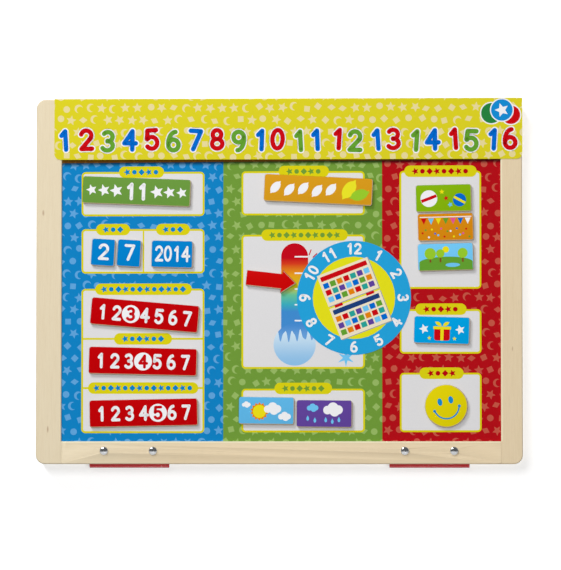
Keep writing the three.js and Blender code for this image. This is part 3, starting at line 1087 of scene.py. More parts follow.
def season_art(shape):
    """A row of white shapes, and two larger ones in colour at the end."""
    row = [(shape, "white", -36 + 11.6 * at, 0.8 * (-1) ** at, 13.4, None, 52) for at in range(5)]
    ends = ((shape, "leaf", 25.5, 1.4, 20, None, 58), (shape, "lime", 34.4, -2.6, 18, None, 20, 2))
    return draw(*row, *ends)


def digit_art(figure):
    return number(figure, "white", 0.2, 0.8, 14)


def year_art(figures):
    return number(figures, "white", 0, 0.6, 13.6, narrow=0.78)


def sun_art():
    sun = draw(("sun", "orange", -6, -0.5, 15.5), ("disc", "yellow", -6, -0.5, 11, 11, 0, 2))
    return sun + cloud(5, 1.8, 15, level=3) + cloud(15, -4.5, 11, level=3) + cloud(-17, 5, 7.5)


def rain_art():
    art = cloud(7, 3.6, 17) + cloud(-10, 5, 10, "sky")
    for step, (x, y) in enumerate(((-14, -4), (-8, -5.6), (1, -5.2), (6.5, -6.4), (12, -5))):
        art.append(lay("drop", "sky", x, y, 2.2, 3.4, level=1 + step / 4))
    return art


def snow_art():
    spots = ((-15, 3, 8), (-5, -4, 6), (4, 4, 7), (12, -3, 9), (19, 5, 5))
    return [lay("flake", "white", *spot) for spot in spots]


def ball_art():
    """Two balls and a row of stars."""
    art = draw(
        ("disc", "white", -12.5, 0, 14),
        ("disc", "blue", 13, -1.5, 11),
        ("square", "red", -12.5, 0, 13.4, 2.6, 20, 2),
        ("square", "yellow", 13, -1.5, 10.6, 2, -30, 2),
    )
    for step, name in enumerate(("yellow", "red", "sky")):
        art.append(lay("star", name, -1.6 + 3.4 * step, 5.5 - 5.4 * step, 4.6, turn=12 * step))
    return art


def party_art():
    """A string of flags over strewn paper dots."""
    names = ("red", "sky", "yellow", "green", "pink", "blue", "white")
    art = [lay("square", "white", 0, 8.6, 43, 0.7)]
    for step, name in enumerate(names):
        art.append(lay("triangle", name, -18.3 + 6.1 * step, 5.9, 5.6, 7, 180, 2))
    for step in range(16):
        place = (-19.5 + 2.6 * step, -4.6 + 3.6 * math.sin(step * 2.4))
        art.append(lay("disc", names[(step * 3) % 7], *place, 1.7))
    return art


def hill_art():
    """Round trees and a pond on a green hill."""
    art = draw(
        ("square", "green", 0, -7.4, 44.4, 6.6),
        ("disc", "green", 0, -4.3, 44.4, 9.4, 0, 1.25),
        ("disc", "yellow", 0, 6.4, 5.4),
    )
    for x, size in ((-13, 9.5), (-4.6, 7.0), (14, 8.4)):
        trunk = ("square", "brown", x, -1.2, 1.5, 6, 0, 2)
        art += draw(trunk, ("disc", "lime", x, 3.2, size, size, 0, 3))
    return art + draw(("disc", "sky", 5.5, -6.6, 12, 3.4, 0, 2))


def gift_art():
    """A wrapped box between two stars."""
    art = draw(
        ("soft_square", "red", 0, -2.6, 13, 11.5),
        ("square", "yellow", 0, -2.6, 2.6, 11.5, 0, 2),
        ("square", "yellow", 0, 2.2, 14.6, 2.4, 0, 2.5),
        ("leaf", "yellow", -3.2, 5.6, 6.4, 5.6, -32, 2),
        ("leaf", "yellow", 3.2, 5.6, 6.4, 5.6, 32, 2),
    )
    for side in (-1, 1):
        large = ("star", "white", side * 15, 1, 8.5, None, 18)
        art += draw(large, ("star", "yellow", side * 10.5, -6.5, 3.6))
    return art


def flower_art():
    art = []
    for x, name in ((-14, "red"), (0, "yellow"), (14, "pink")):
        art += draw(
            ("square", "green", x, -5.4, 1.2, 8),
            ("leaf", "green", x + 2.4, -5.6, 5.4, 4, 28, 1.5),
            ("flake", name, x, 2.6, 11, 11, 0, 2),
            ("disc", "white", x, 2.6, 3.6, 3.6, 0, 3),
        )
    return art


def book_art():
    art = []
    for step, name in enumerate(("red", "blue", "green", "orange", "purple", "teal")):
        x, odd = -13 + 5.2 * step, step % 2
        cover = ("square", name, x, -0.4 - odd, 4.2, 14 - 2 * odd)
        art += draw(cover, ("square", "white", x, 2.2, 4.2, 1, 0, 2))
    return art


def face_art(mouth="smile", turn=0, rise=0):
    """Two eyes and a mouth."""
    eyes = [("disc", "azure", side * 4.6, 4.4, 4, 6.2) for side in (-1, 1)]
    return draw(*eyes, (mouth, "azure", 0, -4.2 + rise, 21, 21, turn))


def tile_blank(width, height, thickness, outline="plate"):
    """A tile's wooden core, lying with its back at Z 0: its edges are rounded, and its first
    material is the cut wood and its second the print."""
    if outline == "plate":
        piece = plate("blank", width, height, thickness, sizes().tile_corner)
    elif outline == "disc":
        piece = round_plate("blank", 72, width / 2, thickness)
    else:
        shape = functools.partial(set_arrow, half_length=width / 2, half_height=height / 2)
        piece = round_plate("blank", 7, width / 2, thickness, shape)
    coat(piece, pressed_wood("pressed_wood"), ink("unprinted", CREAM))
    round_edges(piece, sizes().tile_round, 3, is_fold)
    with editing(piece):
        # The print's colour also goes on the upper and left edges; bare wood on the others is
        # painted shade
        choose(piece, "faces", lambda face: is_printed(face, thickness))
        piece.active_material_index = 1
        bpy.ops.object.material_slot_assign()
    smooth(piece)
    return piece


def is_printed(face, thickness):
    """Whether a tile's face takes the print's colour: its front, or part of a rounded upper or left
    edge. Only the lower and right edges show the bare cut wood: the wood is real, and keeping
    it to those sides paints in the shade that falls there."""
    if face.calc_center_median().z > thickness - 2 * NEAR:
        return True
    return face.normal.z > 0.2 and face.normal.y - face.normal.x > 0.1


ARROW_HEAD_LENGTH = 12.5 * MM
ARROW_SHAFT_HEIGHT = 12.8 * MM


def set_arrow(piece, half_length, half_height):
    """Draws an outline of seven corners out to an arrow pointing along X."""
    neck = half_length - ARROW_HEAD_LENGTH
    shaft = ARROW_SHAFT_HEIGHT / 2
    upper = [(neck, half_height), (neck, shaft), (-half_length, shaft)]
    lower = [(x, -y) for x, y in reversed(upper)]
    corners = bmesh.from_edit_mesh(piece.data).verts
    for vertex, place in zip(corners, [(half_length, 0), *upper, *lower]):
        vertex.co = (*place, 0)


def turned_box(node, turn):
    """Middle, width and height of a tile's node, measured along its own edges."""
    spin = Matrix.Rotation(turn, 3, "Y")
    corners = [spin.inverted() @ vertex.co for vertex in frame["nodes"][node].data.vertices]
    low = Vector(map(min, zip(*corners)))
    high = Vector(map(max, zip(*corners)))
    return spin @ ((low + high) / 2), high.x - low.x, high.z - low.z


# Prints of the tiles: their colour on a screen and the slot of the record
PRINTS = {
    "green": ((106, 151, 63), "tile_green"),
    "lime": ((132, 178, 12), "tile_green"),
    "blue": ((0, 128, 203), "tile_blue"),
    "light_blue": ((95, 182, 230), "tile_light_blue"),
    "pale_blue": ((115, 200, 245), "tile_light_blue"),
    "azure": ((0, 160, 225), "tile_light_blue"),
    "purple": ((97, 68, 153), "tile_purple"),
    "orange": ((214, 153, 28), "tile_orange"),
    "amber": ((214, 136, 16), "tile_orange"),
    "yellow": ((224, 208, 8), "tile_yellow"),
    "red": ((190, 0, 5), "tile_red"),
    "scarlet": ((200, 5, 5), "tile_red"),
}

# The tiles on the front board: turn in degrees, clockwise, the print and its art
TILES = {
    "month": (2.2, "green", month_art, "11"),
    "tens_digit": (3.5, "blue", digit_art, "2"),
    "ones_digit": (3.6, "blue", digit_art, "7"),
    "year": (1.4, "blue", year_art, "2014"),
    "yesterday": (4.9, "red", weekday_art, 3),
    "today": (1.4, "red", weekday_art, 4),
    "tomorrow": (-1.1, "red", weekday_art, 5),
    "season": (2.8, "orange", season_art, "leaf"),
    "weather_left": (0.8, "light_blue", sun_art),
    "weather_right": (0.6, "purple", rain_art),
    "activity_upper": (-1.2, "lime", ball_art),
    "activity_middle": (-1.3, "amber", party_art),
    "activity_lower": (-1.4, "pale_blue", hill_art),
    "holiday": (1.7, "azure", gift_art),
    "feeling": (-12, "yellow", face_art),
    "temperature_arrow": (6.4, "scarlet", list),
}
TILE_OUTLINES = {"feeling": "disc", "temperature_arrow": "arrow"}


def set_tile(blank, name, kind, art, thickness, matrix, body, node):
    """A copy of a blank with its print and its art joined on, set in its place."""
    screen, slot = PRINTS[kind]
    core = copy_of(blank, name)
    core.data.materials[1] = ink("print_{:02x}{:02x}{:02x}".format(*screen), colour(*screen), 0.38)
    for shape in art:
        shifted(shape, z=thickness - LAYER)
    fasten(moved(joined([core, *art], name), matrix), body, slot, node)


# Fields of the front print: left, bottom, right and top, in millimetres from the middle of the
# board's lower edge
FIELDS = {
    "month": (-165.2, 207.2, -62.2, 244.3),
    "date": (-165.2, 159.1, -62.2, 196.4),
    "days": (-165.2, 25.8, -62.2, 146.4),
    "season": (-31.2, 207.7, 71.8, 244.6),
    "temperature": (-31.2, 79.4, 71.8, 191.4),
    "weather": (-31.2, 26.4, 71.8, 62.8),
    "activities": (100.8, 146.1, 168.9, 244.7),
    "holiday": (100.9, 91.9, 168.9, 129.0),
    "feeling": (100.9, 26.6, 168.9, 76.0),
}

# Tabs on the fields: middle, height of the middle, and width, and the colour of their marks
TABS = {
    "month": (-115.0, 244.1, 37.7, "blue"),
    "date": (-138.8, 196.0, 28.4, "blue"),
    "year": (-88.6, 196.0, 28.4, "blue"),
    "yesterday": (-113.2, 146.0, 80.9, "blue"),
    "today": (-113.5, 104.5, 48.4, "blue"),
    "tomorrow": (-113.4, 63.4, 92.2, "blue"),
    "season": (20.9, 244.4, 42.1, "green"),
    "temperature": (21.5, 191.1, 72.1, "green"),
    "weather": (20.4, 63.0, 48.0, "green"),
    "activities": (135.0, 244.3, 60.3, "red"),
    "holiday": (135.2, 129.0, 42.6, "red"),
    "feeling": (135.6, 75.6, 36.8, "red"),
}
TAB_HEIGHT = 9.6
DIVIDER_X = -113.3
DAY_LINES = (104.5, 63.4)

# Knots in the wood: place on the board, width and height in millimetres, and depth of colour
KNOTS = (
    (-197.2, 210, 1.1, 3.0, 0.5),
    (-193.0, 29, 0.8, 3.4, 0.55),
    (194.6, 96, 0.7, 2.4, 0.35),
)
RIVET_HOLE = 4.2 * MM
CORD_HOLE = 5 * MM
CORD_SPACING = 94 * MM
CORD_DROP = 9.5 * MM


class CALENDAR_OT_frames(bpy.types.Operator):
    """Models the stiles and rails of both wooden frames"""

    bl_idname = "calendar.frames"
    bl_label = "Frames"

    def execute(self, context):
        knots = tuple(
            (x * MM, BOARD_BOTTOM + z * MM, width * MM, height * MM, depth)
            for x, z, width, height, depth in KNOTS
        )
        standing, lying = wood("upright_wood", "Z", knots), wood("level_wood", "X")
        for board, matrix in (("front", FRONT), ("rear", REAR)):
            for end in ("left_stile", "right_stile", "top_rail", "bottom_rail"):
                node = f"{board}_{end}"
                if end.endswith("stile"):
                    piece = coat(self.stile(f"{node}_wood", end), standing)
                else:
                    piece = coat(self.rail(f"{node}_wood", board, end == "top_rail"), lying)
                fasten(moved(piece, matrix), f"{board}_board", "frame_wood", node)
        return {"FINISHED"}

    def ease(self, piece, outer, sight):
        """Rounds the outer edges and the front edge at the print well, the others slightly. The
        tests are for the middles of edges that lie on a face."""

        def picked(edge, test, *faces):
            place = middle_of(edge)
            return is_fold(edge) and any(near(place.z, face) for face in faces) and test(place)

        round_edges(piece, sizes().outer_round, 4, lambda edge: picked(edge, outer, 0, FRAME_DEPTH))
        round_edges(piece, sizes().sight_round, 3, lambda edge: picked(edge, sight, FRAME_DEPTH))
        round_edges(piece, sizes().inner_round, 2, lambda edge: is_fold(edge, math.radians(70)))
        smooth(piece)
        apply(piece, "WEIGHTED_NORMAL", keep_sharp=True)

    def cut_across(self, piece, height):
        """Splits the faces and edges of a piece at a height."""
        with editing(piece):
            select_all()
            bpy.ops.mesh.bisect(plane_co=(0, height, 0), plane_no=(0, 1, 0))

    def stile(self, name, end):
        low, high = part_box(f"front_{end}")
        is_left = end == "left_stile"
        inner = high.x if is_left else low.x
        corners = lambda place: (place.x < 0) == is_left
        piece = plate(name, high.x - low.x, BOARD_HEIGHT, FRAME_DEPTH, sizes().corner, 10, corners)
        moved(piece, Matrix.Translation(((low.x + high.x) / 2, BOARD_HEIGHT / 2, 0)))
        reach = sizes().groove
        start = (inner - reach, -MM, GROOVE_BACK)
        carve(piece, block(start, (inner + reach, BOARD_HEIGHT + MM, GROOVE_FRONT)))
        top = BOARD_HEIGHT - RAIL_HEIGHT
        self.cut_across(piece, RAIL_HEIGHT)
        self.cut_across(piece, top)
        sight = lambda place: RAIL_HEIGHT < place.y < top and near(place.x, inner)
        self.ease(piece, lambda place: not near(place.x, inner), sight)
        return piece

    def rail(self, name, board, is_top):
        low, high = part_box(f"front_{'top' if is_top else 'bottom'}_rail")
        left, right = OPENING_LEFT + SEAT, OPENING_RIGHT - SEAT
        bottom = BOARD_HEIGHT - RAIL_HEIGHT if is_top else 0
        piece = plate(name, right - left, RAIL_HEIGHT, FRAME_DEPTH)
        moved(piece, Matrix.Translation(((left + right) / 2, bottom + RAIL_HEIGHT / 2, 0)))
        reach = sizes().groove
        inner = bottom if is_top else RAIL_HEIGHT
        start = (left - MM, inner - reach, GROOVE_BACK)
        carve(piece, block(start, (right + MM, inner + reach, GROOVE_FRONT)))
        foot = bottom + reach if is_top else 0
        start = (low.x, foot, GROOVE_BACK + 2 * SEAT)
        end = (high.x, foot + RAIL_HEIGHT - reach, GROOVE_FRONT - 2 * SEAT)
        carve(piece, block(start, end), "UNION")
        for x, y, diameter in self.holes(board, is_top):
            carve(piece, rod(x, y, -MM, FRAME_DEPTH + MM, diameter))
        edge = BOARD_HEIGHT if is_top else 0
        self.ease(piece, lambda place: near(place.y, edge), lambda place: near(place.y, inner))
        return piece

    def holes(self, board, is_top):
        """Middle and diameter of each hole in a rail: the rivets' holes, and in the front
        board's top rail the two for a cord."""
        if board == "front" and is_top:
            height = BOARD_HEIGHT - CORD_DROP
            return [(side * CORD_SPACING / 2, height, CORD_HOLE) for side in (-1, 1)]
        if is_top == (board == "front"):
            return []
        found = []
        for place in range(1, 5):
            middle = sum(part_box(f"{board}_rivet_{place}"), Vector()) / 2
            height = middle.z - BOARD_BOTTOM
            if board == "rear":
                height = (TURN_BACK @ middle).z - HUNG_BOTTOM
            found.append((middle.x, height, RIVET_HOLE))
        return found


class CALENDAR_OT_panels(bpy.types.Operator):
    """Finishes the printed faces, the steel sheets and the backing panels"""

    bl_idname = "calendar.panels"
    bl_label = "Panels"

    def execute(self, context):
        dress("front_printed_face", calendar_print("printed_bands"))
        dress("rear_printed_face", storage_print("printed_store"))
        for board in ("front", "rear"):
            dress(f"{board}_steel_sheet", steel("rolled_steel"))
            dress(f"{board}_backing_panel", hardboard("pressed_board"))
        return {"FINISHED"}


class CALENDAR_OT_fields(bpy.types.Operator):
    """Prints the white fields with their yellow lines and tabs on the front board"""

    bl_idname = "calendar.fields"
    bl_label = "Printed fields"

    def execute(self, context):
        tones = colours()
        line = ink("field_line", tuple(tones.line))
        field = ink("field_white", tuple(tones.field))
        width = sizes().field_line / MM
        lines, whites, marks = [], [], []
        for box in FIELDS.values():
            lines.append(self.panel(line, *box, 0, 1))
            whites.append(self.panel(field, *box, width, 2))
        left, bottom, right, top = FIELDS["date"]
        across, up = (left + right) / 2, (bottom + top) / 2
        lines.append(lay("square", line, DIVIDER_X, up, width * 0.8, top - bottom, level=3))
        for height in DAY_LINES:
            lines.append(lay("square", line, across, height, right - left, width, level=3))
        for x, height, size, mark in TABS.values():
            tab = plate("tab", size * MM, TAB_HEIGHT * MM, INK, TAB_HEIGHT * 0.49 * MM, 8)
            lines.append(coat(shifted(tab, x * MM, height * MM, 4 * LAYER), line))
            marks += self.marks(x, height, size, ink(f"mark_{mark}", tuple(getattr(tones, mark))))
        fasten_print(lines, "field_lines")
        fasten_print(whites, "fields")
        fasten_print(marks, "tab_marks")
        fasten_print(heading(FIGURES_LEVEL, 1), "print_heading")
        return {"FINISHED"}

    def panel(self, paint, left, bottom, right, top, inset, level):
        width = (right - left - 2 * inset) * MM
        height = (top - bottom - 2 * inset) * MM
        piece = plate("field", width, height, INK, sizes().field_corner - inset * MM, 6)
        shifted(piece, (left + right) / 2 * MM, (bottom + top) / 2 * MM, level * LAYER)
        return coat(piece, paint)

    def marks(self, x, y, width, paint):
        """A row of stars, dots and diamonds along a tab."""
        pitch = 6.0
        count = max(3, int((width - 7) / pitch))
        kinds = (("star", 6.2, 18), ("disc", 3.9, 0), ("square", 3.9, 45))
        row = []
        for step in range(count):
            shape, size, turn = kinds[step % 3]
            at = x + (step - (count - 1) / 2) * pitch
            row.append(lay(shape, paint, at, y, size, turn=turn, level=5))
        return row


class CALENDAR_OT_thermometer(bpy.types.Operator):
    """Prints the thermometer in the temperature field"""

    bl_idname = "calendar.thermometer"
    bl_label = "Thermometer"

    def execute(self, context):
        x, width = 13.2, 22.5
        bulb_y, bulb = 99.6, 35.2
        top = TUBE_TOP - width / 2
        tube = mercury("mercury")
        ball = frosted("frosted", bulb_y + bulb / 2, bulb_y - bulb / 2)
        parts = draw(
            ("disc", tube, x, top, width, width, 0, 3),
            ("square", tube, x, (top + TUBE_BOTTOM) / 2, width, top - TUBE_BOTTOM, 0, 4),
            ("disc", ball, x, bulb_y, bulb, bulb, 0, 5),
            ("flake", "sky", 56, 88.5, 15, 15, 0, 3),
        )
        for height in TICKS:
            parts.append(lay("square", "white", x + width / 4, height, width / 2, 1.2, level=6))
        for (x, y), turn in zip(bow(22.4, TUBE_TOP - 18, 11, 11, 70, 20, 2), (70, 45, 20)):
            parts.append(lay("square", "red", x, y, 5, 0.9, turn, 3))
        fasten_print(parts, "thermometer")
        return {"FINISHED"}


class CALENDAR_OT_rivets(bpy.types.Operator):
    """Turns one domed rivet and sets eight of them in the rails"""

    bl_idname = "calendar.rivets"
    bl_label = "Rivets"

    def execute(self, context):
        model = self.rivet()
        for board, turn in (("front", Matrix()), ("rear", TURN_BACK)):
            for place in range(1, 5):
                node = f"{board}_rivet_{place}"
                middle = turn @ (sum(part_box(node), Vector()) / 2)
                piece = copy_of(model, f"{node}_chrome")
                moved(piece, turn @ Matrix.Translation((middle.x, 0, middle.z)) @ STAND)
                fasten(piece, f"{board}_board", "rivet", node)
        bpy.data.objects.remove(model)
        return {"FINISHED"}

    def rivet(self):
        """A rivet along Z, in place on a board lying on its back: a half profile spun round."""
        low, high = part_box("front_rivet_1")
        head = (high.x - low.x) / 2
        shank, tail = 1.8 * MM, 3.2 * MM
        top, bottom = -low.y, -high.y
        tail_top = bottom + 0.4 * MM
        tip = 0.1 * MM
        seat = FRAME_DEPTH + SEAT
        lip = seat + 0.35 * MM
        profile = [(0, bottom), (tail - tip, bottom), (tail, bottom + tip), (tail, tail_top)]
        profile += [(shank, tail_top), (shank, seat), (head, seat)]
        profile += bow(0, lip, head, top - lip, 0, 90, 9)
        piece = flat("rivet_model", MM, MM)
        with editing(piece):
            choose(piece, "verts", lambda vertex: vertex.index > 0)
            bpy.ops.mesh.delete(type="VERT")
            select_all()
            at = Vector((-MM / 2, -MM / 2, 0))
            for index, (radius, height) in enumerate(profile):
                goal = Vector((radius, 0, height))
                if index:
                    pull(*(goal - at))
                else:
                    bpy.ops.transform.translate(value=goal - at)
                at = goal
            select_all()
            bpy.ops.mesh.spin(steps=40, angle=2 * math.pi, center=(0, 0, 0), axis=(0, 0, 1))
            select_all()
            bpy.ops.mesh.remove_doubles(threshold=0.002 * MM)
            outward()
        coat(piece, chrome("chrome"))
        smooth(piece)
        return piece


class CALENDAR_OT_straps(bpy.types.Operator):
    """Bends the two glossy straps that join the boards below their lower edges"""

    bl_idname = "calendar.straps"
    bl_label = "Straps"

    def execute(self, context):
        for side in ("left", "right"):
            node = f"{side}_strap"
            low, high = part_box(node)
            radius = (high.y - low.y - STRAP_THICKNESS) / 2
            middle = (low.y + high.y) / 2
            bend = low.z + STRAP_TUCK + radius + STRAP_THICKNESS / 2
            piece = upright(f"{node}_vinyl", low, high, middle - radius, bend)
            with editing(piece):
                choose(piece, "edges", lambda edge: near(middle_of(edge).z, bend))
                centre = (0, middle, bend)
                bpy.ops.mesh.spin(steps=16, angle=math.pi, center=centre, axis=(-1, 0, 0))
                pull(0, 0, high.z - bend)
                outward()
            apply(piece, "SOLIDIFY", thickness=STRAP_THICKNESS, offset=0)
            round_edges(piece, STRAP_ROUND, 2, lambda edge: is_fold(edge, math.radians(60)))
            coat(piece, vinyl("vinyl"))
            smooth(piece, math.radians(40))
            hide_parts(node)
            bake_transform(piece)
        return {"FINISHED"}


class CALENDAR_OT_header(bpy.types.Operator):
    """Folds the yellow header card over the top rail and prints plain numbers on it"""

    bl_idname = "calendar.header"
    bl_label = "Header card"

    def execute(self, context):
        low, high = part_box("header_card")
        card = self.card(low, high)
        coat(card, card_print("card_print"), card_stock("card_stock"))
        face = moved(self.art(), Matrix.Translation((0, low.y, 0)) @ FRONT)
        piece = joined([card, face], "header_card_print")
        fasten(piece, "header", "header_card", "header_card")
        return {"FINISHED"}

    def card(self, low, high):
        """The face is drawn flat, and then folded back and down in two extrusions."""
        front = low.y + CARD_THICKNESS / 2
        back = high.y - CARD_THICKNESS / 2
        top = high.z - CARD_THICKNESS / 2
        piece = upright("header_card_face", low, Vector((high.x, 0, top)), front, low.z)
        with editing(piece):
            choose(piece, "verts", lambda vertex: near(vertex.co.z, low.z))
            bpy.ops.mesh.bevel(offset=sizes().card_corner, segments=8, affect="VERTICES")
            choose(piece, "edges", lambda edge: near(middle_of(edge).z, top))
            pull(0, back - front, 0)
            pull(0, 0, -CARD_FLAP)
            outward()
            is_crease = lambda edge: len(edge.link_faces) == 2 and near(middle_of(edge).z, top)
            choose(piece, "edges", is_crease)
            bpy.ops.mesh.bevel(offset=sizes().card_fold, segments=5, affect="EDGES")
        settings = {"material_offset": 1, "material_offset_rim": 1}
        apply(piece, "SOLIDIFY", thickness=CARD_THICKNESS - 2 * NEAR, offset=0, **settings)
        smooth(piece)
        return piece

    def art(self):
        """A row of numbers, and three discs at the upper right, all with white outlines."""
        art = heading(CARD_FIGURES_LEVEL, 3)
        discs = (
            ("forest", 177.5, 292.6, 17, 5),
            ("red", 193.8, 291.2, 15.5, 5),
            ("azure", 186.3, 295.2, 18, 7),
        )
        for name, x, y, size, level in discs:
            art.append(lay("disc", "white", x, y, size + 2, level=level))
            art.append(lay("disc", name, x, y, size, level=level + 1))
        art.append(lay("star", "white", 186.3, 295.2, 12, turn=18, level=9))
        return joined(art, "header_art")


def heading(y, level):
    """Plain numbers from 1 to 16 across the top of the board, in three colours with white
    outlines: each figure a little turned, raised or lowered."""
    names = ("blue", "red", "green")
    left, right = -179.5, 193.0
    height, gap = 18.6, 0.3
    groups = [str(figure) for figure in range(1, 17)]
    count = sum(map(len, groups))
    step = (right - left) / (count - 1 + gap * (len(groups) - 1))
    art = []
    x = left
    for group in groups:
        for figure in group:
            place = len(art) // 2
            rise = 0.8 * math.sin(place * 2.1)
            turn = 4 * math.sin(place * 1.7 + 1)
            art += number(figure, "white", x, y + rise, height, OUTLINED, level, turn)
            art += number(figure, names[place % 3], x, y + rise, height, BOLD, level + 1, turn)
            x += step
        x += gap * step
    return art


# Outer radius of the ring of numbers on the sticker, in millimetres
STICKER_RIM = 47.6


class CALENDAR_OT_sticker(bpy.types.Operator):
    """Cuts the round sticker and prints a dial of numbers round two small pages on it"""

    bl_idname = "calendar.sticker"
    bl_label = "Sticker"

    def execute(self, context):
        low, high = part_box("round_sticker")
        thickness = high.y - low.y
        disc = round_plate("sticker_disc", 128, (high.x - low.x) / 2, thickness)
        coat(disc, ink("sticker_blue", colour(36, 160, 216), 0.3))
        smooth(disc)
        art = [shifted(shape, z=thickness - LAYER) for shape in self.art()]
        piece = joined([disc, *art], "round_sticker_print")
        place = ((low.x + high.x) / 2, high.y, (low.z + high.z) / 2)
        moved(piece, Matrix.Translation(place) @ STAND)
        fasten(piece, "front_board", "sticker", "round_sticker")
        return {"FINISHED"}

    def art(self):
        middle = sizes().sticker_middle / MM
        yellow = ink("sticker_yellow", colour(226, 221, 28), 0.3)
        art = [lay("disc", yellow, 0, 0, 2 * middle)]
        ring = (middle + STICKER_RIM) / 2
        for hour in range(1, 13):
            bearing = 90 - 30 * hour
            angle = math.radians(bearing)
            turn = bearing - 90 if hour < 4 or hour > 8 else bearing + 90
            place = (ring * math.cos(angle), ring * math.sin(angle))
            art += number(str(hour), "white", *place, 9.4, BOLD, 2, turn)
        return art + self.pages()

    def pages(self):
        """Two small cream pages of coloured squares, one below the other and both tilted."""
        tilt = 21
        spin = Matrix.Rotation(math.radians(tilt), 2)
        cream = ink("page_cream", colour(236, 224, 196))
        names = ("blue", "green", "orange", "red", "teal", "purple", "sky")
        art = []

        def put(paint, x, y, width, height, level):
            art.append(lay("square", paint, *(spin @ Vector((x, y))), width, height, tilt, level))

        for page, middle in enumerate((14.2, -15.2)):
            put("grey", 0.7, middle - 0.7, 45, 27.4, 2 + page / 4)
            put(cream, 0, middle, 45, 27.4, 3 + page / 4)
            put("navy" if page else "red", 0, middle + 9.6, 41, 4, 4)
            for square in range(21):
                row, column = divmod(square, 7)
                name = names[(row * 3 + column + page * 2) % len(names)]
                put(name, -18 + 6 * column, middle + 3.4 - 6 * row, 4.7, 4.5, 4)
        for side in (-1, 1):
            put("red", side * 14, -1.2, 7, 2.4, 5)
        return art


class CALENDAR_OT_tiles(bpy.types.Operator):
    """Cuts and prints the tiles that lie on the front board"""

    bl_idname = "calendar.tiles"
    bl_label = "Front tiles"

    def execute(self, context):
        blanks = {}
        for name, (turn, kind, art, *details) in TILES.items():
            node = f"{name}_tile"
            turn = math.radians(turn)
            middle, width, height = turned_box(node, turn)
            low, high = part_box(node)
            thickness = high.y - low.y
            outline = TILE_OUTLINES.get(name, "plate")
            size = round(width / MM, 1), outline
            if size not in blanks:
                blanks[size] = tile_blank(width, height, thickness, outline)
            place = Matrix.Translation((middle.x, high.y, middle.z))
            matrix = place @ Matrix.Rotation(turn, 4, "Y") @ STAND
            art = art(*details)
            set_tile(blanks[size], f"{node}_print", kind, art, thickness, matrix, name, node)
            dress(f"{name}_magnet", magnet_rubber("magnet_rubber"))
        for blank in blanks.values():
            bpy.data.objects.remove(blank)
        return {"FINISHED"}


def spread(spans, low, high):
    """Middles of a run of sizes between two ends, with even spaces, also at the ends."""
    space = (high - low - sum(spans)) / (len(spans) + 1)
    return [
        low + space * (index + 1) + sum(spans[:index]) + span / 2
        for index, span in enumerate(spans)
    ]


# Widths of the stored tiles, and the height of all but the discs, in millimetres
WIDE, DIGIT, YEAR, SMALL, DISC = 90.5, 19.8, 34.6, 46.3, 35.5
STORED_HEIGHT = 22.7
STORED_CORE = 2.3 * MM
STORED_MAGNET = 0.7 * MM
# How much smaller a magnet sheet is than its tile
MAGNET_INSET = 0.8
MAGNET_CORNER = 1.6 * MM


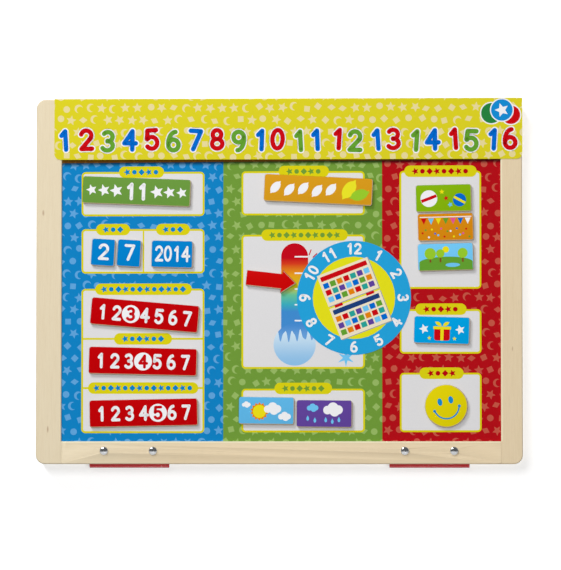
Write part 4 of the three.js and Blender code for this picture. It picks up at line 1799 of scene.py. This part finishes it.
class CALENDAR_OT_stored(bpy.types.Operator):
    """Cuts and prints the spare tiles that are stored on the rear board"""

    bl_idname = "calendar.stored"
    bl_label = "Stored tiles"

    def execute(self, context):
        blanks = {width: self.blank(width) for width in (WIDE, DIGIT, YEAR, SMALL, DISC)}
        widths = [WIDE, WIDE, DISC, SMALL, SMALL, SMALL]
        middles = spread(widths, OPENING_LEFT / MM, OPENING_RIGHT / MM)
        bottom, top = RAIL_HEIGHT / MM, (BOARD_HEIGHT - RAIL_HEIGHT) / MM
        back = -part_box("rear_printed_face")[1].y + 2 * FOLD.y
        face = TURN_BACK @ Matrix.Translation((0, back - SEAT, 0)) @ HUNG
        thickness = STORED_CORE + STORED_MAGNET + SEAT
        count = 0
        for column, (rows, width, middle) in enumerate(zip(self.columns(), widths, middles)):
            node = "stored_wide_tiles" if column < 2 else "stored_small_tiles"
            heights = [DISC if row[0][0] == DISC else STORED_HEIGHT for row in rows]
            for row, level in zip(rows, spread(heights, 0, top - bottom)):
                across = spread([tile[0] for tile in row], middle - width / 2, middle + width / 2)
                for (size, kind, art, *details), x in zip(row, across):
                    count += 1
                    name = f"stored_tile_{count:02d}"
                    matrix = face @ Matrix.Translation((x * MM, (top - level) * MM, 0))
                    art = art(*details)
                    set_tile(blanks[size], name, kind, art, thickness, matrix, "rear_board", node)
        for blank in blanks.values():
            bpy.data.objects.remove(blank)
        return {"FINISHED"}

    def blank(self, width):
        """A core on its magnet sheet, which is a little smaller and lies at Z 0."""
        inner = (width - MAGNET_INSET) * MM
        if width == DISC:
            piece = tile_blank(width * MM, width * MM, STORED_CORE, "disc")
            sheet = rod(0, 0, 0, STORED_MAGNET, inner, 48)
        else:
            piece = tile_blank(width * MM, STORED_HEIGHT * MM, STORED_CORE)
            height = (STORED_HEIGHT - MAGNET_INSET) * MM
            sheet = plate("magnet", inner, height, STORED_MAGNET, MAGNET_CORNER, 3)
        coat(sheet, magnet_rubber("magnet_rubber"))
        return joined([shifted(piece, z=STORED_MAGNET + SEAT), sheet], "blank")

    def columns(self):
        """The rows of each column, top down: for each tile its width, its print and its art."""
        wides = [[(WIDE, "green", month_art, str(month))] for month in (*range(1, 11), 12)]
        wides += [[(WIDE, "red", weekday_art, day)] for day in (1, 2, 6, 7)]
        wides += [[(WIDE, "orange", season_art, shape)] for shape in ("flake", "drop", "sun")]
        digits = [(DIGIT, "blue", digit_art, figure) for figure in "013456890121"]
        years = [[(YEAR, "blue", year_art, str(year))] for year in range(2015, 2019)]
        mouths = [("smile", 0), ("smile", 180, -3), ("grin", 0), ("line", 14), ("grin", 180, -3)]
        faces = [[(DISC, "yellow", face_art, *mouth)] for mouth in mouths]
        kinds = [
            ("light_blue", sun_art),
            ("purple", rain_art),
            ("blue", snow_art),
            ("lime", ball_art),
            ("orange", party_art),
            ("light_blue", hill_art),
            ("blue", gift_art),
            ("green", flower_art),
            ("yellow", book_art),
        ]
        smalls = [[(SMALL, *kinds[(step * 4) % len(kinds)])] for step in range(27)]
        return [
            wides[:10],
            [digits[:4], digits[4:8], *wides[10:]],
            [*years[:3], *faces],
            smalls[:10],
            smalls[10:20],
            [*smalls[20:], years[3], digits[8:10], digits[10:]],
        ]


# Stage: distances in metres, angles in degrees. The sensor is as wide as the longer side of
# the picture, which takes in the seen height.
CAMERA_DISTANCE = 3.0
CAMERA_RIGHT = 1.9
CAMERA_BELOW = 2.5
SEEN_HEIGHT = 0.4757
SENSOR = 36.0
LAMP_DISTANCE = 2.2
WORLD_LIGHT = 0.15
ROOM_DARK = 0.12
FLOOR_DROP = 0.36
FLOOR_SIZE = 8
WALL_GAP = 0.0006
WALL_MIDDLE = -0.02
WALL_WIDTH = 2.4
WALL_HEIGHT = 1.27
WALL_GLOW = 0.44
CAMERA_AIM = Vector((1.46 * MM, -FRAME_DEPTH, -146.2 * MM))

# Lamps: the way to them from the board's middle, their size, their power, and whether they
# show as highlights
LAMPS = {
    "near_key": ((-0.16, -1.0, 0.2), 0.56, 12.4, False),
    "far_key": ((-0.7, -1.0, 1.05), 0.62, 26.8, True),
    "fill": ((0.2, -1.0, -0.15), 0.3, 12.0, False),
    "back": ((0.5, 1.0, 0.5), 1.2, 34.0, True),
}


def aimed(thing, aim):
    """Turns a lamp or the camera towards a point."""
    thing.rotation_euler = (aim - thing.location).to_track_quat("-Z", "Y").to_euler()


def one_sided(paint):
    """Makes a finished material clear where it is seen from behind."""
    facing = paint.node("ShaderNodeNewGeometry", output="Backfacing")
    clear_side = paint.node("ShaderNodeBsdfTransparent")
    shown = Value(paint, paint.shader.outputs[0])
    mixed = paint.node("ShaderNodeMixShader", {0: facing, 1: shown, 2: clear_side})
    paint.plug(paint.tree.nodes["Material Output"].inputs["Surface"], mixed)
    return paint.material


class CALENDAR_OT_stage(bpy.types.Operator):
    """Sets the floor, the wall behind, the lamps, the world and the camera"""

    bl_idname = "calendar.stage"
    bl_label = "Stage"

    def execute(self, context):
        self.floor()
        self.wall()
        self.world()
        self.lamps()
        self.camera()
        context.scene.view_settings.view_transform = "Standard"
        return {"FINISHED"}

    def plane(self, name, size, location, rotation=(0, 0, 0)):
        clear()
        bpy.ops.mesh.primitive_plane_add(size=size, location=location, rotation=rotation)
        piece = settle(added(name))
        return piece

    def floor(self):
        floor = self.plane("floor", FLOOR_SIZE, (0, 0, BOARD_BOTTOM - FLOOR_DROP))
        floor.visible_diffuse = False
        paint = Paint("floor_pale")
        base = paint.mix(paint.noise(3, 3), colour(236, 236, 236), colour(242, 242, 242))
        paint.done(base, 0.8)
        coat(floor, one_sided(paint))

    def wall(self):
        """White where the camera sees it, apart from the calendar's own shadow. It shows from
        the front only, and lights and shades nothing."""
        place = (0, CAD_BOX[1][1] + WALL_GAP, WALL_MIDDLE)
        wall = self.plane("wall", 1, place, (RIGHT_ANGLE, 0, 0))
        wall.data.transform(Matrix.Diagonal((WALL_WIDTH, 1, WALL_HEIGHT, 1)))
        for ray in ("diffuse", "glossy", "transmission", "volume_scatter", "shadow"):
            setattr(wall, f"visible_{ray}", False)
        paint = Paint("wall_white")
        glow = {"Emission_Color": (1, 1, 1), "Emission_Strength": WALL_GLOW}
        paint.done((0.92, 0.92, 0.92), 1.0, Specular_IOR_Level=0.0, **glow)
        coat(wall, one_sided(paint))

    def world(self):
        """An even white light. What shines on the pieces shows the white behind and below them,
        and a darker room in front."""
        world = bpy.data.worlds.new("studio")
        bpy.context.scene.world = world
        world.use_nodes = True
        sky = Nodes(world.node_tree)
        background = world.node_tree.nodes["Background"]
        path = sky.node("ShaderNodeLightPath").socket.node
        rays = [f"Is {kind} Ray" for kind in ("Camera", "Glossy", "Transmission")]
        seen, shining, through = (Value(sky, path.outputs[ray]) for ray in rays)
        _, y, z = sky.axes(sky.node("ShaderNodeTexCoord", output="Generated"))
        behind = sky.between(y, -0.4, 0.2, ROOM_DARK, 1.0)
        below = sky.between(z, -0.7, -0.1, 1.5, ROOM_DARK)
        room = sky.maths("MAXIMUM", behind, below)
        level = WORLD_LIGHT + (seen + through) * (1 - WORLD_LIGHT) + shining * (room - WORLD_LIGHT)
        background.inputs["Color"].default_value = (1, 1, 1, 1)
        sky.plug(background.inputs["Strength"], level)

    def lamps(self):
        """Two soft lamps at the upper left, one near the view and one well off it, a faint one
        a little below and one behind."""
        aim = Vector((0, 0, BOARD_BOTTOM + BOARD_HEIGHT / 2))
        for name, (way, size, power, shines) in LAMPS.items():
            clear()
            place = aim + Vector(way).normalized() * LAMP_DISTANCE
            bpy.ops.object.light_add(type="AREA", location=place)
            lamp = added(name)
            lamp.data.size = size
            lamp.data.energy = power
            lamp.visible_camera = False
            lamp.visible_glossy = shines
            aimed(lamp, aim)

    def camera(self):
        """A long lens, a little below the middle of the board and to its right, so that the
        board's lower edge and right edge come out slightly longer than the others."""
        across, rise = math.radians(CAMERA_RIGHT), math.radians(-CAMERA_BELOW)
        level = math.cos(rise)
        way = Vector((math.sin(across) * level, -math.cos(across) * level, math.sin(rise)))
        clear()
        bpy.ops.object.camera_add(location=CAMERA_AIM + CAMERA_DISTANCE * way)
        camera = added("camera")
        aimed(camera, CAMERA_AIM)
        camera.data.sensor_width = SENSOR
        camera.data.lens = SENSOR * CAMERA_DISTANCE / SEEN_HEIGHT
        bpy.context.scene.camera = camera


OPERATORS = (
    CALENDAR_OT_stage,
    CALENDAR_OT_panels,
    CALENDAR_OT_frames,
    CALENDAR_OT_fields,
    CALENDAR_OT_thermometer,
    CALENDAR_OT_rivets,
    CALENDAR_OT_straps,
    CALENDAR_OT_header,
    CALENDAR_OT_sticker,
    CALENDAR_OT_tiles,
    CALENDAR_OT_stored,
)


class CALENDAR_PT_pieces(bpy.types.Panel):
    """Lists the steps that make the calendar, with its sizes and colours"""

    bl_idname = "CALENDAR_PT_pieces"
    bl_label = "Magnetic Calendar"
    bl_space_type = "VIEW_3D"
    bl_region_type = "UI"
    bl_category = "Calendar"

    def draw(self, context):
        for step in OPERATORS:
            self.layout.operator(step.bl_idname)
        for group in (context.scene.calendar_sizes, context.scene.calendar_colours):
            for name in group.__annotations__:
                self.layout.prop(group, name)


CLASSES = (CalendarSizes, CalendarColours, *OPERATORS, CALENDAR_PT_pieces)


def register():
    for item in CLASSES:
        bpy.utils.register_class(item)
    bpy.types.Scene.calendar_sizes = bpy.props.PointerProperty(type=CalendarSizes)
    bpy.types.Scene.calendar_colours = bpy.props.PointerProperty(type=CalendarColours)


def unregister():
    del bpy.types.Scene.calendar_sizes
    del bpy.types.Scene.calendar_colours
    for item in reversed(CLASSES):
        bpy.utils.unregister_class(item)


def main():
    register()
    make_shapes()
    for step in OPERATORS:
        family, name = step.bl_idname.split(".")
        getattr(getattr(bpy.ops, family), name)()
    drop_shapes()


if __name__ == "__main__":
    main()
